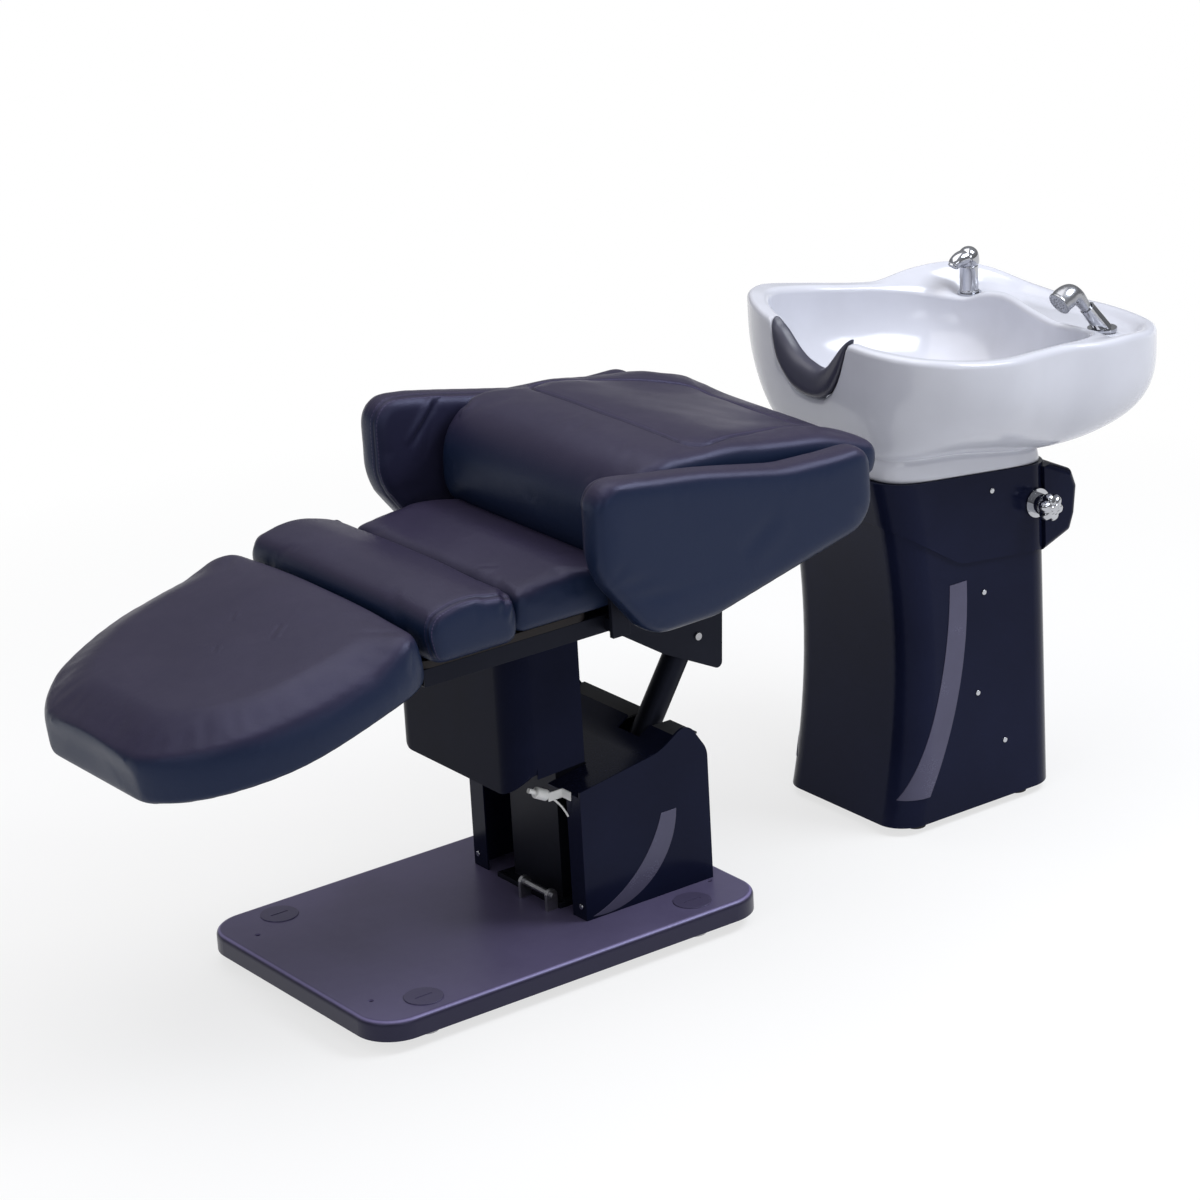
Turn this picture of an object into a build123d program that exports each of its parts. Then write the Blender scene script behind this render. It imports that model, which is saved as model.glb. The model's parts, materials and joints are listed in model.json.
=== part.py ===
from build123d import *

import os
from math import atan2, cos, degrees, hypot, radians, sin, tan

# Hair washing bed: a lifting, reclining bed on a floor plate, and a ceramic basin on its own pedestal.
# Millimetres, +Z up. Stations along X are counted from the foot end of the floor plate while the model
# is built; the finished pieces are then moved so that X = 0, Y = 0 is the middle of the whole object.
# Head end is +X, foot end is -X, and the near side of the bed is -Y.
# A list whose name ends in shares holds fractions of the sizes named beside it.

# Shared values
overrun = 2.0                     # how far a cutting body reaches past the face that it cuts
running_clearance = 0.1           # radial clearance of a pin in the eye that turns on it
side_clearance = 0.5              # gap beside an eye or a knuckle
board_gap = 0.3                   # under the back cushion, which is sewn shut over its own bottom
sheet = 3.0                       # sheet steel of the covers and brackets
tube_wall = 3.0                   # wall of the square tubes in the frames
half_turn = 180.0
quarter_turn = 90.0
half_angle = 45.0

# Floor plate
plate_length = 720.0
plate_width = 500.0
plate_top = 52.0
cover_depth = 32.0
cover_wall = 4.0
cover_corner_radius = 62.0
cover_edge_radius = 9.0
slab_thickness = 12.0
slab_margin = 6.0
anchor_spacing_x = 630.0
anchor_spacing_y = 314.0
anchor_hole_radius = 4.5
cap_spacing_x = 499.0
cap_spacing_y = 398.0
cap_radius = 30.0
cap_rim = 1.6
cap_plug_radius = 26.5
cap_slot_width = 4.0
cap_slot_length = 30.0
cap_slot_depth = 0.8
foot_pad_radius = 20.0
foot_pad_height = 9.0
foot_pad_round = 3.0
foot_neck_radius = 6.0
foot_nut_radius = 10.0
foot_nut_height = 6.0

# Lifting column
column_x = 490.0
column_depth = 44.0
column_width = 116.0
column_wall = 4.0
column_gap = 2.0                  # space between the two tubes, filled by the glides
mast_wall = 4.0
mast_height = 236.0
mast_flange = 20.0
mast_flange_thickness = 8.0
flange_hole_radius = 4.5
flange_hole_inset = 9.0
column_foot_height = 224.0        # lower end of the sliding tube, over the floor
column_head_height = 532.0
head_plate_front = 430.0
head_plate_thickness = 8.0
glide_length = 60.0
glide_width = 30.0
screw_radius = 10.0
screw_nut_width = 60.0
screw_nut_height = 26.0
screw_top_height = 372.0
motor_radius = 34.0
motor_length = 92.0
motor_x = 606.0
motor_y = 62.0
gearbox_height = 60.0
gearbox_front = 545.0
gearbox_back = 642.0
gearbox_low_y = -8.0
gearbox_high_y = 98.0
gearbox_round = 8.0
drive_height = 74.0
drive_radius = 5.0
drive_collar_radius = 15.0
drive_collar_height = 16.0

# Cover of the column's foot
box_front = 445.0
box_back = 688.0
box_half_width = 150.0
cheek_thickness = 4.0
box_front_height = 264.0          # top of the cheeks over the floor, at the front
box_mid_x = 598.0
box_mid_rise = 24.0               # over the front
box_crest_x = 652.0
box_crest_rise = 58.0
box_shoulder_rise = 4.0
box_crest_radius = 22.0
box_shoulder_radius = 40.0
box_mid_radius = 90.0
box_strip_width = 36.0
box_top_drop = 9.0                # how far the top sheet lies under the cheeks' crest
box_slot_front = 634.0            # the slot across the top, which the back actuator leaves by
box_slot_back = 670.0
box_seal_drop = 14.0
notch_width = 56.0
notch_front = 612.0
notch_height = 244.0
box_trim_proud = 0.8
box_trim_start_x = 457.0
box_trim_start_height = 57.0
box_trim_outer_x = 590.0
box_trim_outer_height = 104.0
box_trim_inner_x = 549.0
box_trim_inner_height = 112.0
box_trim_end_outer_x = 623.0
box_trim_end_inner_x = 594.0
box_trim_end_height = 188.0
screw_head_radius = 4.5
screw_head_height = 2.4
screw_head_round = 1.4
box_screw_level = 73.0
cross_shaft_radius = 5.0
cross_shaft_length = 88.0
cross_shaft_x = 431.0
cross_shaft_y = -42.0
cross_shaft_height = 77.0
cross_lug_thickness = 6.0
cross_lug_width = 20.0

# Seat: frame, boards and cushions
seat_frame_front = 148.0
seat_frame_back = 520.0
seat_frame_half_width = 205.0
seat_frame_low = 532.0
seat_frame_tube = 28.0
seat_bar_x = 300.0
seat_board_thickness = 12.0
seat_board_margin = 16.0
seat_board_radius = 24.0
roll_front = 122.0
roll_front_low = 142.0            # the front leans back under the roll, along the leg rest
roll_back = 300.0
roll_half_width = 250.0
roll_crest_rise = 94.0            # over the board
roll_crest_x = 205.0
roll_front_rise = 72.0
roll_back_rise = 70.0
roll_front_radius = 32.0
roll_crest_radius = 120.0
roll_back_radius = 24.0
cushion_low_radius = 23.0
cushion_end_radius = 22.0
cushion_draw = 4.0                # how far a cushion's ends are drawn in against its middle
seat_flat_gap = 2.0
seat_flat_back = 462.0
seat_flat_half_width = 222.0
seat_flat_front_rise = 62.0       # over the board
seat_flat_back_rise = 78.0
seat_flat_front_radius = 16.0
seat_flat_low_radius = 16.0
seat_flat_back_radius = 26.0
seat_flat_end_radius = 14.0

# Shroud that hangs from the seat in front of the column
skirt_front = 322.0
skirt_back = 450.0
skirt_half_width = 161.0
skirt_low = 290.0
skirt_back_low = 318.0
skirt_high = 532.0
skirt_corner_radius = 42.0
skirt_low_radius = 46.0

# Leg rest
leg_tilt = 13.4                   # degrees, downwards from the seat to the toes
leg_hinge_x = 126.0
leg_hinge_height = 533.0
leg_top_x = 117.0
leg_top_rise = 96.0               # from the hinge up to the crease with the seat
leg_length = 434.0
leg_half_width = 281.0
leg_depth = 76.0
leg_crown = 9.0
leg_draw = 3.0
leg_edge_radius = 26.0
leg_foot_radius = 20.0
leg_station_shares = [0.0, 0.015, 0.06, 0.16, 0.40, 0.65, 0.82, 0.93, 0.98, 1.0]
leg_width_shares = [0.87, 0.90, 0.945, 0.985, 1.0, 0.93, 0.80, 0.66, 0.56, 0.49]
leg_depth_shares = [0.72, 0.86, 0.97, 1.0, 1.0, 1.0, 0.995, 0.96, 0.88, 0.74]
leg_board_thickness = 10.0
leg_board_start = 34.0
leg_board_end = 372.0
leg_board_wide_end = 250.0
leg_board_half_width = 233.0
leg_board_tip_half_width = 140.0
leg_board_radius = 30.0
leg_pin_radius = 6.0
leg_knuckle_radius = 11.0
leg_knuckle_width = 26.0
leg_knuckle_y = 120.0
leg_knuckle_reach = 82.0
leg_lug_thickness = 6.0
leg_lug_height = 14.0

# Backrest
back_hinge_x = 478.0
back_hinge_height = 606.0
back_half_width = 250.0
back_front = 482.0
back_head_x = 984.0
back_low = 612.0
back_crest_height = 794.0
back_outline_shares = [(0.0, 0.088), (0.0, 1.0), (0.434, 0.962), (1.0, 0.555), (0.985, 0.27), (0.275, 0.0)]
back_radius_shares = [0.24, 0.52, 1.6, 0.13, 0.15, 0.33]
back_draw = 5.0
back_end_radius = 24.0
back_board_thickness = 12.0
back_board_half_width = 205.0
back_board_length = 330.0
back_board_radius = 30.0
back_rail = 24.0
back_rail_y = 176.0
back_bar_x = 178.0                # the second crossbar, from the first one along the board
panel_front = 637.0
panel_back = 918.0
panel_front_half_width = 214.0
panel_back_half_width = 150.0
panel_corner_radius = 40.0
panel_back_radius = 26.0
seam_width = 5.0
seam_depth = 7.0
hinge_plate_thickness = 8.0
hinge_plate_radius = 16.0
hinge_plate_y = 228.0             # inner face of the seat's hinge plates
hinge_pin_radius = 8.0
hinge_pin_head_radius = 12.0
hinge_pin_head = 4.0
hinge_bracket_front = 470.0
hinge_bracket_back = 500.0
hinge_bracket_low = 536.0
hinge_bracket_high = 556.0
strap_height = 26.0

# Arms, which are wings on the backrest
arm_inner = 258.0
arm_outer = 320.0
arm_front = 386.0
arm_back = 905.0
arm_low = 545.0
arm_high = 808.0
arm_outline_shares = [(0.0, 1.0), (0.0, 0.456), (0.181, 0.0), (0.412, 0.011), (1.0, 0.293), (1.0, 0.749),
                      (0.682, 0.764), (0.162, 0.97)]
arm_radius_shares = [0.17, 0.38, 0.27, 0.23, 0.23, 0.13, 0.76, 0.38]
arm_draw = 3.0
arm_edge_radius = 20.0

# Levers under the backrest and the actuator that works them
lever_y = 78.0
lever_thickness = 5.0
lever_front_x = 533.0
lever_back_x = 790.0
lever_low = 355.0
lever_outline_shares = [(0.0, 0.58), (0.055, 0.55), (0.51, 0.232), (0.946, 0.0), (0.965, 0.36), (1.0, 1.0),
                        (0.34, 0.90)]
lever_corner_radius = 9.0
strut_y = -50.0
strut_pin_x = 732.0
strut_pin_height = 422.0
strut_foot_x = 566.0
strut_foot_height = 158.0
strut_tube_radius = 21.0
strut_rod_radius = 11.0
strut_tube_reach = 274.0          # from the foot pin to the top of the outer tube
strut_rod_foot = 60.0             # from the foot pin to the lower end of the rod
strut_bore_foot = 44.0            # from the foot pin to the floor of the tube's bore
strut_pin_radius = 6.0
strut_eye_radius = 16.0
strut_eye_width = 24.0
strut_float = 15.5                # play at the foot pin, which takes up the uneven swing
strut_foot_wall = 7.0
strut_neck = 34.0
foot_ear_thickness = 6.0
foot_ear_half_width = 26.0
pin_overhang = 3.0

# Link that turns the leg rest with the backrest
link_drop_x = -20.0
link_drop_z = -85.0
link_y = 215.0
link_width = 12.0
link_rod_radius = 5.0
link_eye_radius = 11.0
link_pin_radius = 5.0
link_lug_thickness = 5.0
link_lug_front_x = 66.0
link_lug_back_x = 108.0
link_lug_front_height = 516.0
link_lug_back_height = 530.0

# Plug and its short lead beside the column's cover
plug_x = 420.0
plug_y = -98.0
plug_height = 252.0
plug_tilt = 28.0                  # degrees, upwards to the foot end
plug_radius = 9.0
plug_length = 24.0
plug_nose_radius = 4.0
plug_nose_length = 13.0
plug_round = 3.0
lead_radius = 1.6
lead_length = 46.0
lead_drop = 34.0
clip_thickness = 2.0
clip_width = 40.0
clip_height = 14.0

# Pedestal of the basin
pedestal_front = 1062.0
pedestal_waist = 1098.0
pedestal_back = 1402.0
pedestal_half_width = 154.0
pedestal_low = 14.0
pedestal_wall = 4.0
pedestal_corner_radius = 50.0
pedestal_foot_radius = 16.0
pedestal_foot_inset = 62.0
pedestal_floor_thickness = 6.0
pedestal_bolt_x = 220.0
pedestal_bolt_y = 180.0
pedestal_bolt_radius = 5.0
drain_hole_radius = 27.0
collar_thickness = 4.0
collar_front_low = 534.0
collar_mid_low = 440.0
collar_mid_x = 1200.0
collar_back_low = 418.0
collar_mid_radius = 60.0
bulge_front = 1380.0
bulge_back = 1454.0
bulge_low = 416.0
bulge_high = 560.0
bulge_outline_shares = [(0.0, 0.0), (0.78, 0.15), (0.92, 0.34), (1.0, 0.66), (0.86, 0.86), (0.3, 1.0),
                        (0.0, 1.0)]
bulge_wall = 4.0
bulge_radius = 10.0
bulge_edge_radius = 14.0
top_plate_thickness = 6.0
top_plate_hole_radius = 60.0
trim_proud = 1.0
trim_top_height = 408.0
trim_top_front = 1179.0
trim_top_back = 1214.0
trim_mid_height = 292.0
trim_mid_front = 1166.0
trim_mid_back = 1206.0
trim_low_height = 60.0
trim_low_front = 1078.0
trim_low_back = 1126.0
screw_upper_x = 1268.0
screw_upper_height = 547.0
screw_middle_x = 1250.0
screw_middle_height = 379.0
screw_lower_x = 1232.0
screw_lower_height = 211.0
screw_foot_x = 1287.0
screw_foot_height = 114.0

# Basin
basin_tilt = 6.2                  # degrees, downwards to the back
basin_front = 1036.0
basin_back = 1658.0
basin_front_height = 816.0        # rim over the floor at the front
basin_half_width = 254.0
basin_depth = 213.0               # from the rim down to the foot's underside
basin_foot_front = 1064.0
basin_foot_back = 1404.0
basin_foot_half_width = 156.0
basin_foot_radius = 46.0
basin_foot_band = 34.0
basin_plan_shares = [(0.0, 0.30), (0.012, 0.5), (0.0675, 0.62), (0.11, 0.787), (0.19, 0.95), (0.32, 1.0),
                     (0.44, 0.95), (0.55, 0.915), (0.66, 0.95), (0.775, 0.89), (0.87, 0.79), (0.965, 0.56),
                     (0.995, 0.28)]
foot_plan_shares = [(0.0, 0.40), (0.01, 0.72), (0.05, 0.93), (0.13, 1.0), (0.28, 1.0), (0.42, 1.0),
                    (0.54, 1.0), (0.66, 1.0), (0.78, 1.0), (0.88, 0.98), (0.95, 0.92), (0.99, 0.72), (1.0,
                                                                                                      0.40)]
basin_level_shares = [0.0, 0.07, 0.30, 0.58, 0.78, 0.90]
basin_foot_mix_shares = [0.0, 0.0, 0.06, 0.36, 0.70, 0.95]
bowl_front = 1062.0
bowl_back = 1448.0
bowl_half_width = 226.0
bowl_depth = 150.0
bowl_level_shares = [0.0, 0.25, 0.60, 0.88, 1.0]
bowl_size_shares = [1.0, 0.97, 0.86, 0.66, 0.42]
bowl_plan_shares = [(0.02, 0.45), (0.10, 0.80), (0.25, 0.97), (0.45, 1.0), (0.65, 0.96), (0.85, 0.82),
                    (0.97, 0.50)]
deck_front = 1474.0
deck_back = 1630.0
deck_half_width = 216.0
deck_back_half_width = 118.0
deck_depth = 12.0
deck_radius = 38.0
deck_front_radius = 14.0
hollow_margin = 24.0
hollow_roof = 172.0
notch_half_width = 84.0
notch_drop = 96.0
notch_radius = 70.0
notch_reach = 62.0
rest_thickness = 15.0
rest_reach = 46.0
rest_overhang = 5.0
drain_radius = 24.0
drain_x = 1255.0
strainer_thickness = 2.5
strainer_hole_radius = 2.6
strainer_ring_radius = 13.0
strainer_holes = 8
tail_radius = 20.0
tail_wall = 2.0
tail_low = 22.0

# Fittings of the basin
spout_x = 1508.0
spout_y = 165.0
spout_base_radius = 20.0
spout_base_height = 6.0
spout_pipe_radius = 13.0
spout_pipe_height = 44.0
spout_head_radius = 17.0
spout_head_height = 20.0
spout_head_round = 8.0
spout_nozzle_radius = 9.0
spout_nozzle_length = 34.0
spout_nozzle_drop = 14.0
shower_x = 1528.0
shower_y = -136.0
shower_base_radius = 24.0
shower_base_height = 5.0
shower_lean = 36.0                # degrees from upright
shower_heading = 168.0            # degrees, the way it leans, seen from above
shower_sleeve_radius = 14.5
shower_sleeve_top_radius = 12.5
shower_sleeve_length = 46.0
shower_sleeve_bore = 9.5
shower_stem_radius = 9.0
shower_stem_length = 96.0
shower_stem_inside = 40.0
shower_head_radius = 15.0
shower_head_length = 52.0
shower_face_radius = 21.0
shower_face_length = 18.0
mixer_x = 1362.0
mixer_level = 504.0
mixer_flange_radius = 24.0
mixer_flange_thickness = 4.0
mixer_body_radius = 17.0
mixer_body_length = 20.0
mixer_knob_radius = 21.0
mixer_knob_length = 26.0
mixer_knob_flutes = 8
mixer_flute_radius = 4.0
mixer_lever_radius = 5.0
mixer_lever_length = 26.0
pipe_radius = 7.0
pipe_low = 20.0
pipe_spacing = 60.0

parts = {}


def block(x0, x1, y0, y1, z0, z1):
    """Box between two opposite corners."""
    middle = Pos((x0 + x1) / 2, (y0 + y1) / 2, (z0 + z1) / 2)
    return middle * Box(abs(x1 - x0), abs(y1 - y0), abs(z1 - z0))


def rod(start, end, radius):
    """Round bar from one point to another."""
    run = Vector(*end) - Vector(*start)
    return extrude(Plane(origin=start, z_dir=run) * Circle(radius), run.length)


def cone(start, end, start_radius, end_radius):
    """Round bar that tapers from one point to another."""
    run = Vector(*end) - Vector(*start)
    first = Plane(origin=start, z_dir=run) * Circle(start_radius)
    last = Plane(origin=end, z_dir=run) * Circle(end_radius)
    return loft([first, last])


def outline(points, radii):
    """Closed outline with its corners rounded; radii is one value, or one for each corner."""
    return make_face(FilletPolyline(*points, radius=radii, close=True))


def side_slab(face, low_y, high_y):
    """Solid between two places across the bed whose side view is the given face."""
    return extrude(Plane.XZ.offset(-high_y) * face, high_y - low_y)


def both_sides(shape):
    """The shape and its mirror image across the middle plane."""
    return shape + mirror(shape, about=Plane.XZ)


def four_corners(shape, spacing_x, spacing_y, middle_x):
    """Four copies of a shape made at the origin, at the corners of a rectangle."""
    places = Pos(middle_x, 0, 0) * GridLocations(spacing_x, spacing_y, 2, 2)
    return [place * shape for place in places]


def joined(shapes):
    """All the shapes as one."""
    total = shapes[0]
    for shape in shapes[1:]:
        total = total + shape
    return total


def scaled_points(shares, x0, x1, y0, y1, inset=0):
    """Points given as fractions of a frame, the frame drawn in on all sides by the inset."""
    x0, x1, y0, y1 = x0 + inset, x1 - inset, y0 + inset, y1 - inset
    return [(x0 + (x1 - x0) * u, y0 + (y1 - y0) * v) for u, v in shares]


def drawn_in(face_of, half_width, draw):
    """Soft body across the bed: full in the middle, drawn in at its two ends."""
    sections = [Plane.XZ.offset(-y) * face_of(inset)
                for y, inset in ((-half_width, draw), (0, 0), (half_width, draw))]
    return loft(sections)


def rounded_ends(body, low_y, high_y, radius):
    """The body with the edges of its two end faces rounded."""
    faces = body.faces().sort_by(Axis.Y)
    edges = faces[0].edges() + faces[-1].edges()
    return fillet(edges, radius)


def plan_plate(points, radii, low_z, high_z):
    """Flat plate with the given plan."""
    return extrude(Pos(0, 0, low_z) * outline(points, radii), high_z - low_z)


# Floor plate

plate_x = plate_length / 2
cover_low = plate_top - cover_depth
slab_top = plate_top - cover_wall


def base_cover():
    """Pressed cover of the floor plate, open below."""
    outer = extrude(RectangleRounded(plate_length, plate_width, cover_corner_radius), cover_depth)
    outer = fillet(outer.faces().sort_by(Axis.Z)[-1].edges(), cover_edge_radius)
    inner = extrude(RectangleRounded(plate_length - 2 * cover_wall, plate_width - 2 * cover_wall,
                                     cover_corner_radius - cover_wall), cover_depth - cover_wall)
    inner = fillet(inner.faces().sort_by(Axis.Z)[-1].edges(), cover_edge_radius - cover_wall)
    cover = Pos(plate_x, 0, cover_low) * (outer - inner)
    for hole in plate_holes():
        cover = cover - hole
    return cover


def plate_holes():
    """Anchor holes and the seats of the caps, as cutting bodies."""
    anchor = rod((0, 0, cover_low - overrun), (0, 0, plate_top + overrun), anchor_hole_radius)
    seat = rod((0, 0, slab_top - slab_thickness - overrun), (0, 0, plate_top + overrun), cap_plug_radius)
    return (four_corners(anchor, anchor_spacing_x, anchor_spacing_y, plate_x)
            + four_corners(seat, cap_spacing_x, cap_spacing_y, plate_x))


def base_slab():
    """Steel slab right under the cover; the feet are screwed into it."""
    margin = 2 * (cover_wall + slab_margin)
    slab = extrude(RectangleRounded(plate_length - margin, plate_width - margin,
                                    cover_corner_radius - cover_wall - slab_margin), slab_thickness)
    slab = Pos(plate_x, 0, slab_top - slab_thickness) * slab
    anchor = rod((0, 0, 0), (0, 0, plate_top), anchor_hole_radius)
    neck = rod((0, 0, 0), (0, 0, plate_top), foot_neck_radius)
    for hole in four_corners(anchor, anchor_spacing_x, anchor_spacing_y, plate_x):
        slab = slab - hole
    for hole in four_corners(neck, cap_spacing_x, cap_spacing_y, plate_x):
        slab = slab - hole
    return slab


def foot_caps():
    """Round caps over the heads of the levelling feet, each with a slot for a coin."""
    disc = rod((0, 0, plate_top), (0, 0, plate_top + cap_rim), cap_radius)
    disc = fillet(disc.faces().sort_by(Axis.Z)[-1].edges(), cap_rim / 2)
    plug = rod((0, 0, slab_top), (0, 0, plate_top), cap_plug_radius)
    slot_floor = plate_top + cap_rim - cap_slot_depth
    slot = block(-cap_slot_length / 2, cap_slot_length / 2, -cap_slot_width / 2, cap_slot_width / 2,
                 slot_floor, plate_top + overrun)
    return joined(four_corners(disc + plug - slot, cap_spacing_x, cap_spacing_y, plate_x))


def levelling_feet():
    """Round pads on threaded necks, each with a lock nut."""
    pad = rod((0, 0, 0), (0, 0, foot_pad_height), foot_pad_radius)
    pad = fillet(pad.faces().sort_by(Axis.Z)[-1].edges(), foot_pad_round)
    neck = rod((0, 0, 0), (0, 0, slab_top), foot_neck_radius)
    nut_low = slab_top - slab_thickness - foot_nut_height
    nut = Pos(0, 0, nut_low) * extrude(RegularPolygon(foot_nut_radius, 6), foot_nut_height)
    return joined(four_corners(pad + neck + nut, cap_spacing_x, cap_spacing_y, plate_x))


# Lifting column

mast_depth = column_depth + 2 * (column_gap + mast_wall)
mast_width = column_width + 2 * (column_gap + mast_wall)
mast_top = plate_top + mast_height


def mast():
    """Fixed outer tube of the column with its bolted flange."""
    tube = Rectangle(mast_depth, mast_width) - Rectangle(mast_depth - 2 * mast_wall,
                                                         mast_width - 2 * mast_wall)
    flange = Rectangle(mast_depth + 2 * mast_flange, mast_width + 2 * mast_flange)
    flange = flange - Rectangle(mast_depth - 2 * mast_wall, mast_width - 2 * mast_wall)
    body = extrude(tube, mast_height) + extrude(flange, mast_flange_thickness)
    hole = rod((0, 0, -overrun), (0, 0, mast_flange_thickness + overrun), flange_hole_radius)
    span_x = mast_depth + 2 * (mast_flange - flange_hole_inset)
    span_y = mast_width + 2 * (mast_flange - flange_hole_inset)
    for cut in four_corners(hole, span_x, span_y, 0):
        body = body - cut
    body = Pos(column_x, 0, plate_top) * body
    return body - rod((column_x, 0, drive_height), (column_x + mast_depth, 0, drive_height),
                      drive_radius + running_clearance)


def mast_glides():
    """Plastic pads at the mouth of the outer tube, which the inner tube slides on."""
    pad = column_gap - running_clearance
    low = mast_top - glide_length
    inner_x = column_x + column_depth / 2 + running_clearance
    inner_y = column_width / 2 + running_clearance
    half = glide_width / 2
    pads = []
    for side in (-1, 1):
        pads.append(block(column_x - half, column_x + half, side * inner_y, side * (inner_y + pad), low,
                          mast_top))
        for place in (-inner_y / 2, inner_y / 2):
            edge = column_x + side * (inner_x - column_x)
            pads.append(block(edge, edge + side * pad, place - half, place + half, low, mast_top))
    return joined(pads)


def column():
    """Inner tube of the column, which carries the seat."""
    tube = Rectangle(column_depth, column_width)
    tube = tube - Rectangle(column_depth - 2 * column_wall, column_width - 2 * column_wall)
    return Pos(column_x, 0, column_foot_height) * extrude(tube, column_head_height - column_foot_height)


def screw_nut():
    """Nut block in the foot of the inner tube."""
    depth = column_depth - 2 * column_wall
    nut = Pos(column_x, 0, column_foot_height + screw_nut_height / 2) * Box(depth, screw_nut_width,
                                                                            screw_nut_height)
    return nut - rod((column_x, 0, 0), (column_x, 0, column_head_height), screw_radius + running_clearance)


def lift_screw():
    """Lifting screw with its driven collar."""
    screw = rod((column_x, 0, plate_top), (column_x, 0, screw_top_height), screw_radius)
    low = drive_height - drive_collar_height / 2
    collar = rod((column_x, 0, low), (column_x, 0, low + drive_collar_height), drive_collar_radius)
    return screw + collar


def lift_motor():
    """Motor on its gearbox, and the shaft that drives the screw."""
    gearbox = block(gearbox_front, gearbox_back, gearbox_low_y, gearbox_high_y, plate_top,
                    plate_top + gearbox_height)
    gearbox = fillet(gearbox.edges().filter_by(Axis.Z), gearbox_round)
    low = plate_top + gearbox_height
    can = rod((motor_x, motor_y, low), (motor_x, motor_y, low + motor_length), motor_radius)
    shaft = rod((column_x + drive_collar_radius, 0, drive_height), (gearbox_front, 0, drive_height),
                drive_radius)
    return gearbox + can + shaft


# Cover of the column's foot

box_mid_height = box_front_height + box_mid_rise
box_crest_height = box_front_height + box_crest_rise
box_shoulder_height = box_front_height + box_shoulder_rise


def box_outline(drop, inset):
    """Side view of the cover: the crest lowered by the drop, all sheets drawn in by the inset."""
    points = [(box_front + inset, plate_top), (box_front + inset, box_front_height - drop),
              (box_mid_x, box_mid_height - drop), (box_crest_x, box_crest_height - drop),
              (box_back - inset, box_shoulder_height - drop), (box_back - inset, plate_top)]
    return outline(points, [0, 0, box_mid_radius, box_crest_radius, box_shoulder_radius, 0])


def box_cheek():
    """Near side sheet of the cover, with the upright strip beside the open front."""
    wall = box_half_width - cheek_thickness
    sheet_part = side_slab(box_outline(0, 0), -box_half_width, -wall)
    strip = block(box_front, box_front + sheet, -wall, box_strip_width - box_half_width, plate_top,
                  box_front_height - box_top_drop - sheet)
    return sheet_part + strip


def box_skin():
    """The bent sheet between the cheeks, before it is parted into top and back."""
    wall = box_half_width - cheek_thickness
    outer = side_slab(box_outline(box_top_drop, 0), -wall, wall)
    inner = side_slab(box_outline(box_top_drop + sheet, sheet), -wall, wall)
    return outer - inner


def strut_notch():
    """Cutting body that clears the back actuator where it leaves the cover."""
    return block(notch_front, box_back + overrun, strut_y - notch_width / 2, strut_y + notch_width / 2,
                 notch_height, box_crest_height)


def box_top():
    """Sloping top sheet, from the open front to the slot."""
    wall = box_half_width
    low = box_front_height - box_top_drop - sheet
    keep = block(box_front - overrun, box_slot_front, -wall, wall, low, box_crest_height)
    half = mast_width / 2 + column_gap
    column_room = block(box_front - overrun, column_x + mast_depth / 2 + column_gap, -half, half, low,
                        box_crest_height)
    return (box_skin() & keep) - strut_notch() - column_room


def box_back_sheet():
    """Back sheet of the cover, from the slot down to the floor plate."""
    wall = box_half_width
    keep = block(box_slot_back, box_back + overrun, -wall, wall, plate_top, box_crest_height)
    return (box_skin() & keep) - strut_notch()


def box_seal():
    """Dark strip sunk in the slot."""
    wall = box_half_width - cheek_thickness
    high = box_crest_height - box_top_drop - box_seal_drop
    seal = block(box_slot_front - sheet, box_slot_back + sheet, -wall, wall, high - sheet, high)
    return seal - box_solid_skin() - strut_notch()


def box_solid_skin():
    """The top and back sheets, as a cutting body for what lies between them."""
    return box_skin() - block(box_slot_front, box_slot_back, -box_half_width, box_half_width, plate_top,
                              box_crest_height)


def box_trim():
    """Raised curved bands on both cheeks."""
    start = (box_trim_start_x, box_trim_start_height)
    outer_end = (box_trim_end_outer_x, box_trim_end_height)
    inner_end = (box_trim_end_inner_x, box_trim_end_height)
    outer = ThreePointArc(start, (box_trim_outer_x, box_trim_outer_height), outer_end)
    inner = ThreePointArc(inner_end, (box_trim_inner_x, box_trim_inner_height), start)
    band = make_face([outer, Line(outer_end, inner_end), inner])
    return both_sides(side_slab(band, -box_half_width - box_trim_proud, -box_half_width))


def screw_head():
    """Domed head of a cover screw, its seat at the origin, standing up along Z."""
    head = rod((0, 0, 0), (0, 0, screw_head_height), screw_head_radius)
    return fillet(head.faces().sort_by(Axis.Z)[-1].edges(), screw_head_round)


def box_screws():
    """Screws at the foot of the upright strips."""
    place = box_half_width - box_strip_width / 3
    heads = [Pos(box_front, side * place, box_screw_level) * Rot(0, -quarter_turn, 0) * screw_head()
             for side in (-1, 1)]
    return joined(heads)


def cross_shaft():
    """Bright cross shaft low in front of the cover, on two small lugs."""
    low_y = cross_shaft_y - cross_shaft_length / 2
    high_y = cross_shaft_y + cross_shaft_length / 2
    shaft = rod((cross_shaft_x, low_y, cross_shaft_height), (cross_shaft_x, high_y, cross_shaft_height),
                cross_shaft_radius)
    for y in (low_y + cross_lug_thickness, high_y - 2 * cross_lug_thickness):
        lug = block(cross_shaft_x - cross_lug_width / 2, cross_shaft_x + cross_lug_width / 2, y,
                    y + cross_lug_thickness, plate_top, cross_shaft_height)
        head = rod((cross_shaft_x, y, cross_shaft_height),
                   (cross_shaft_x, y + cross_lug_thickness, cross_shaft_height),
                   cross_lug_width / 2)
        shaft = shaft + lug + head
    return shaft


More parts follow.
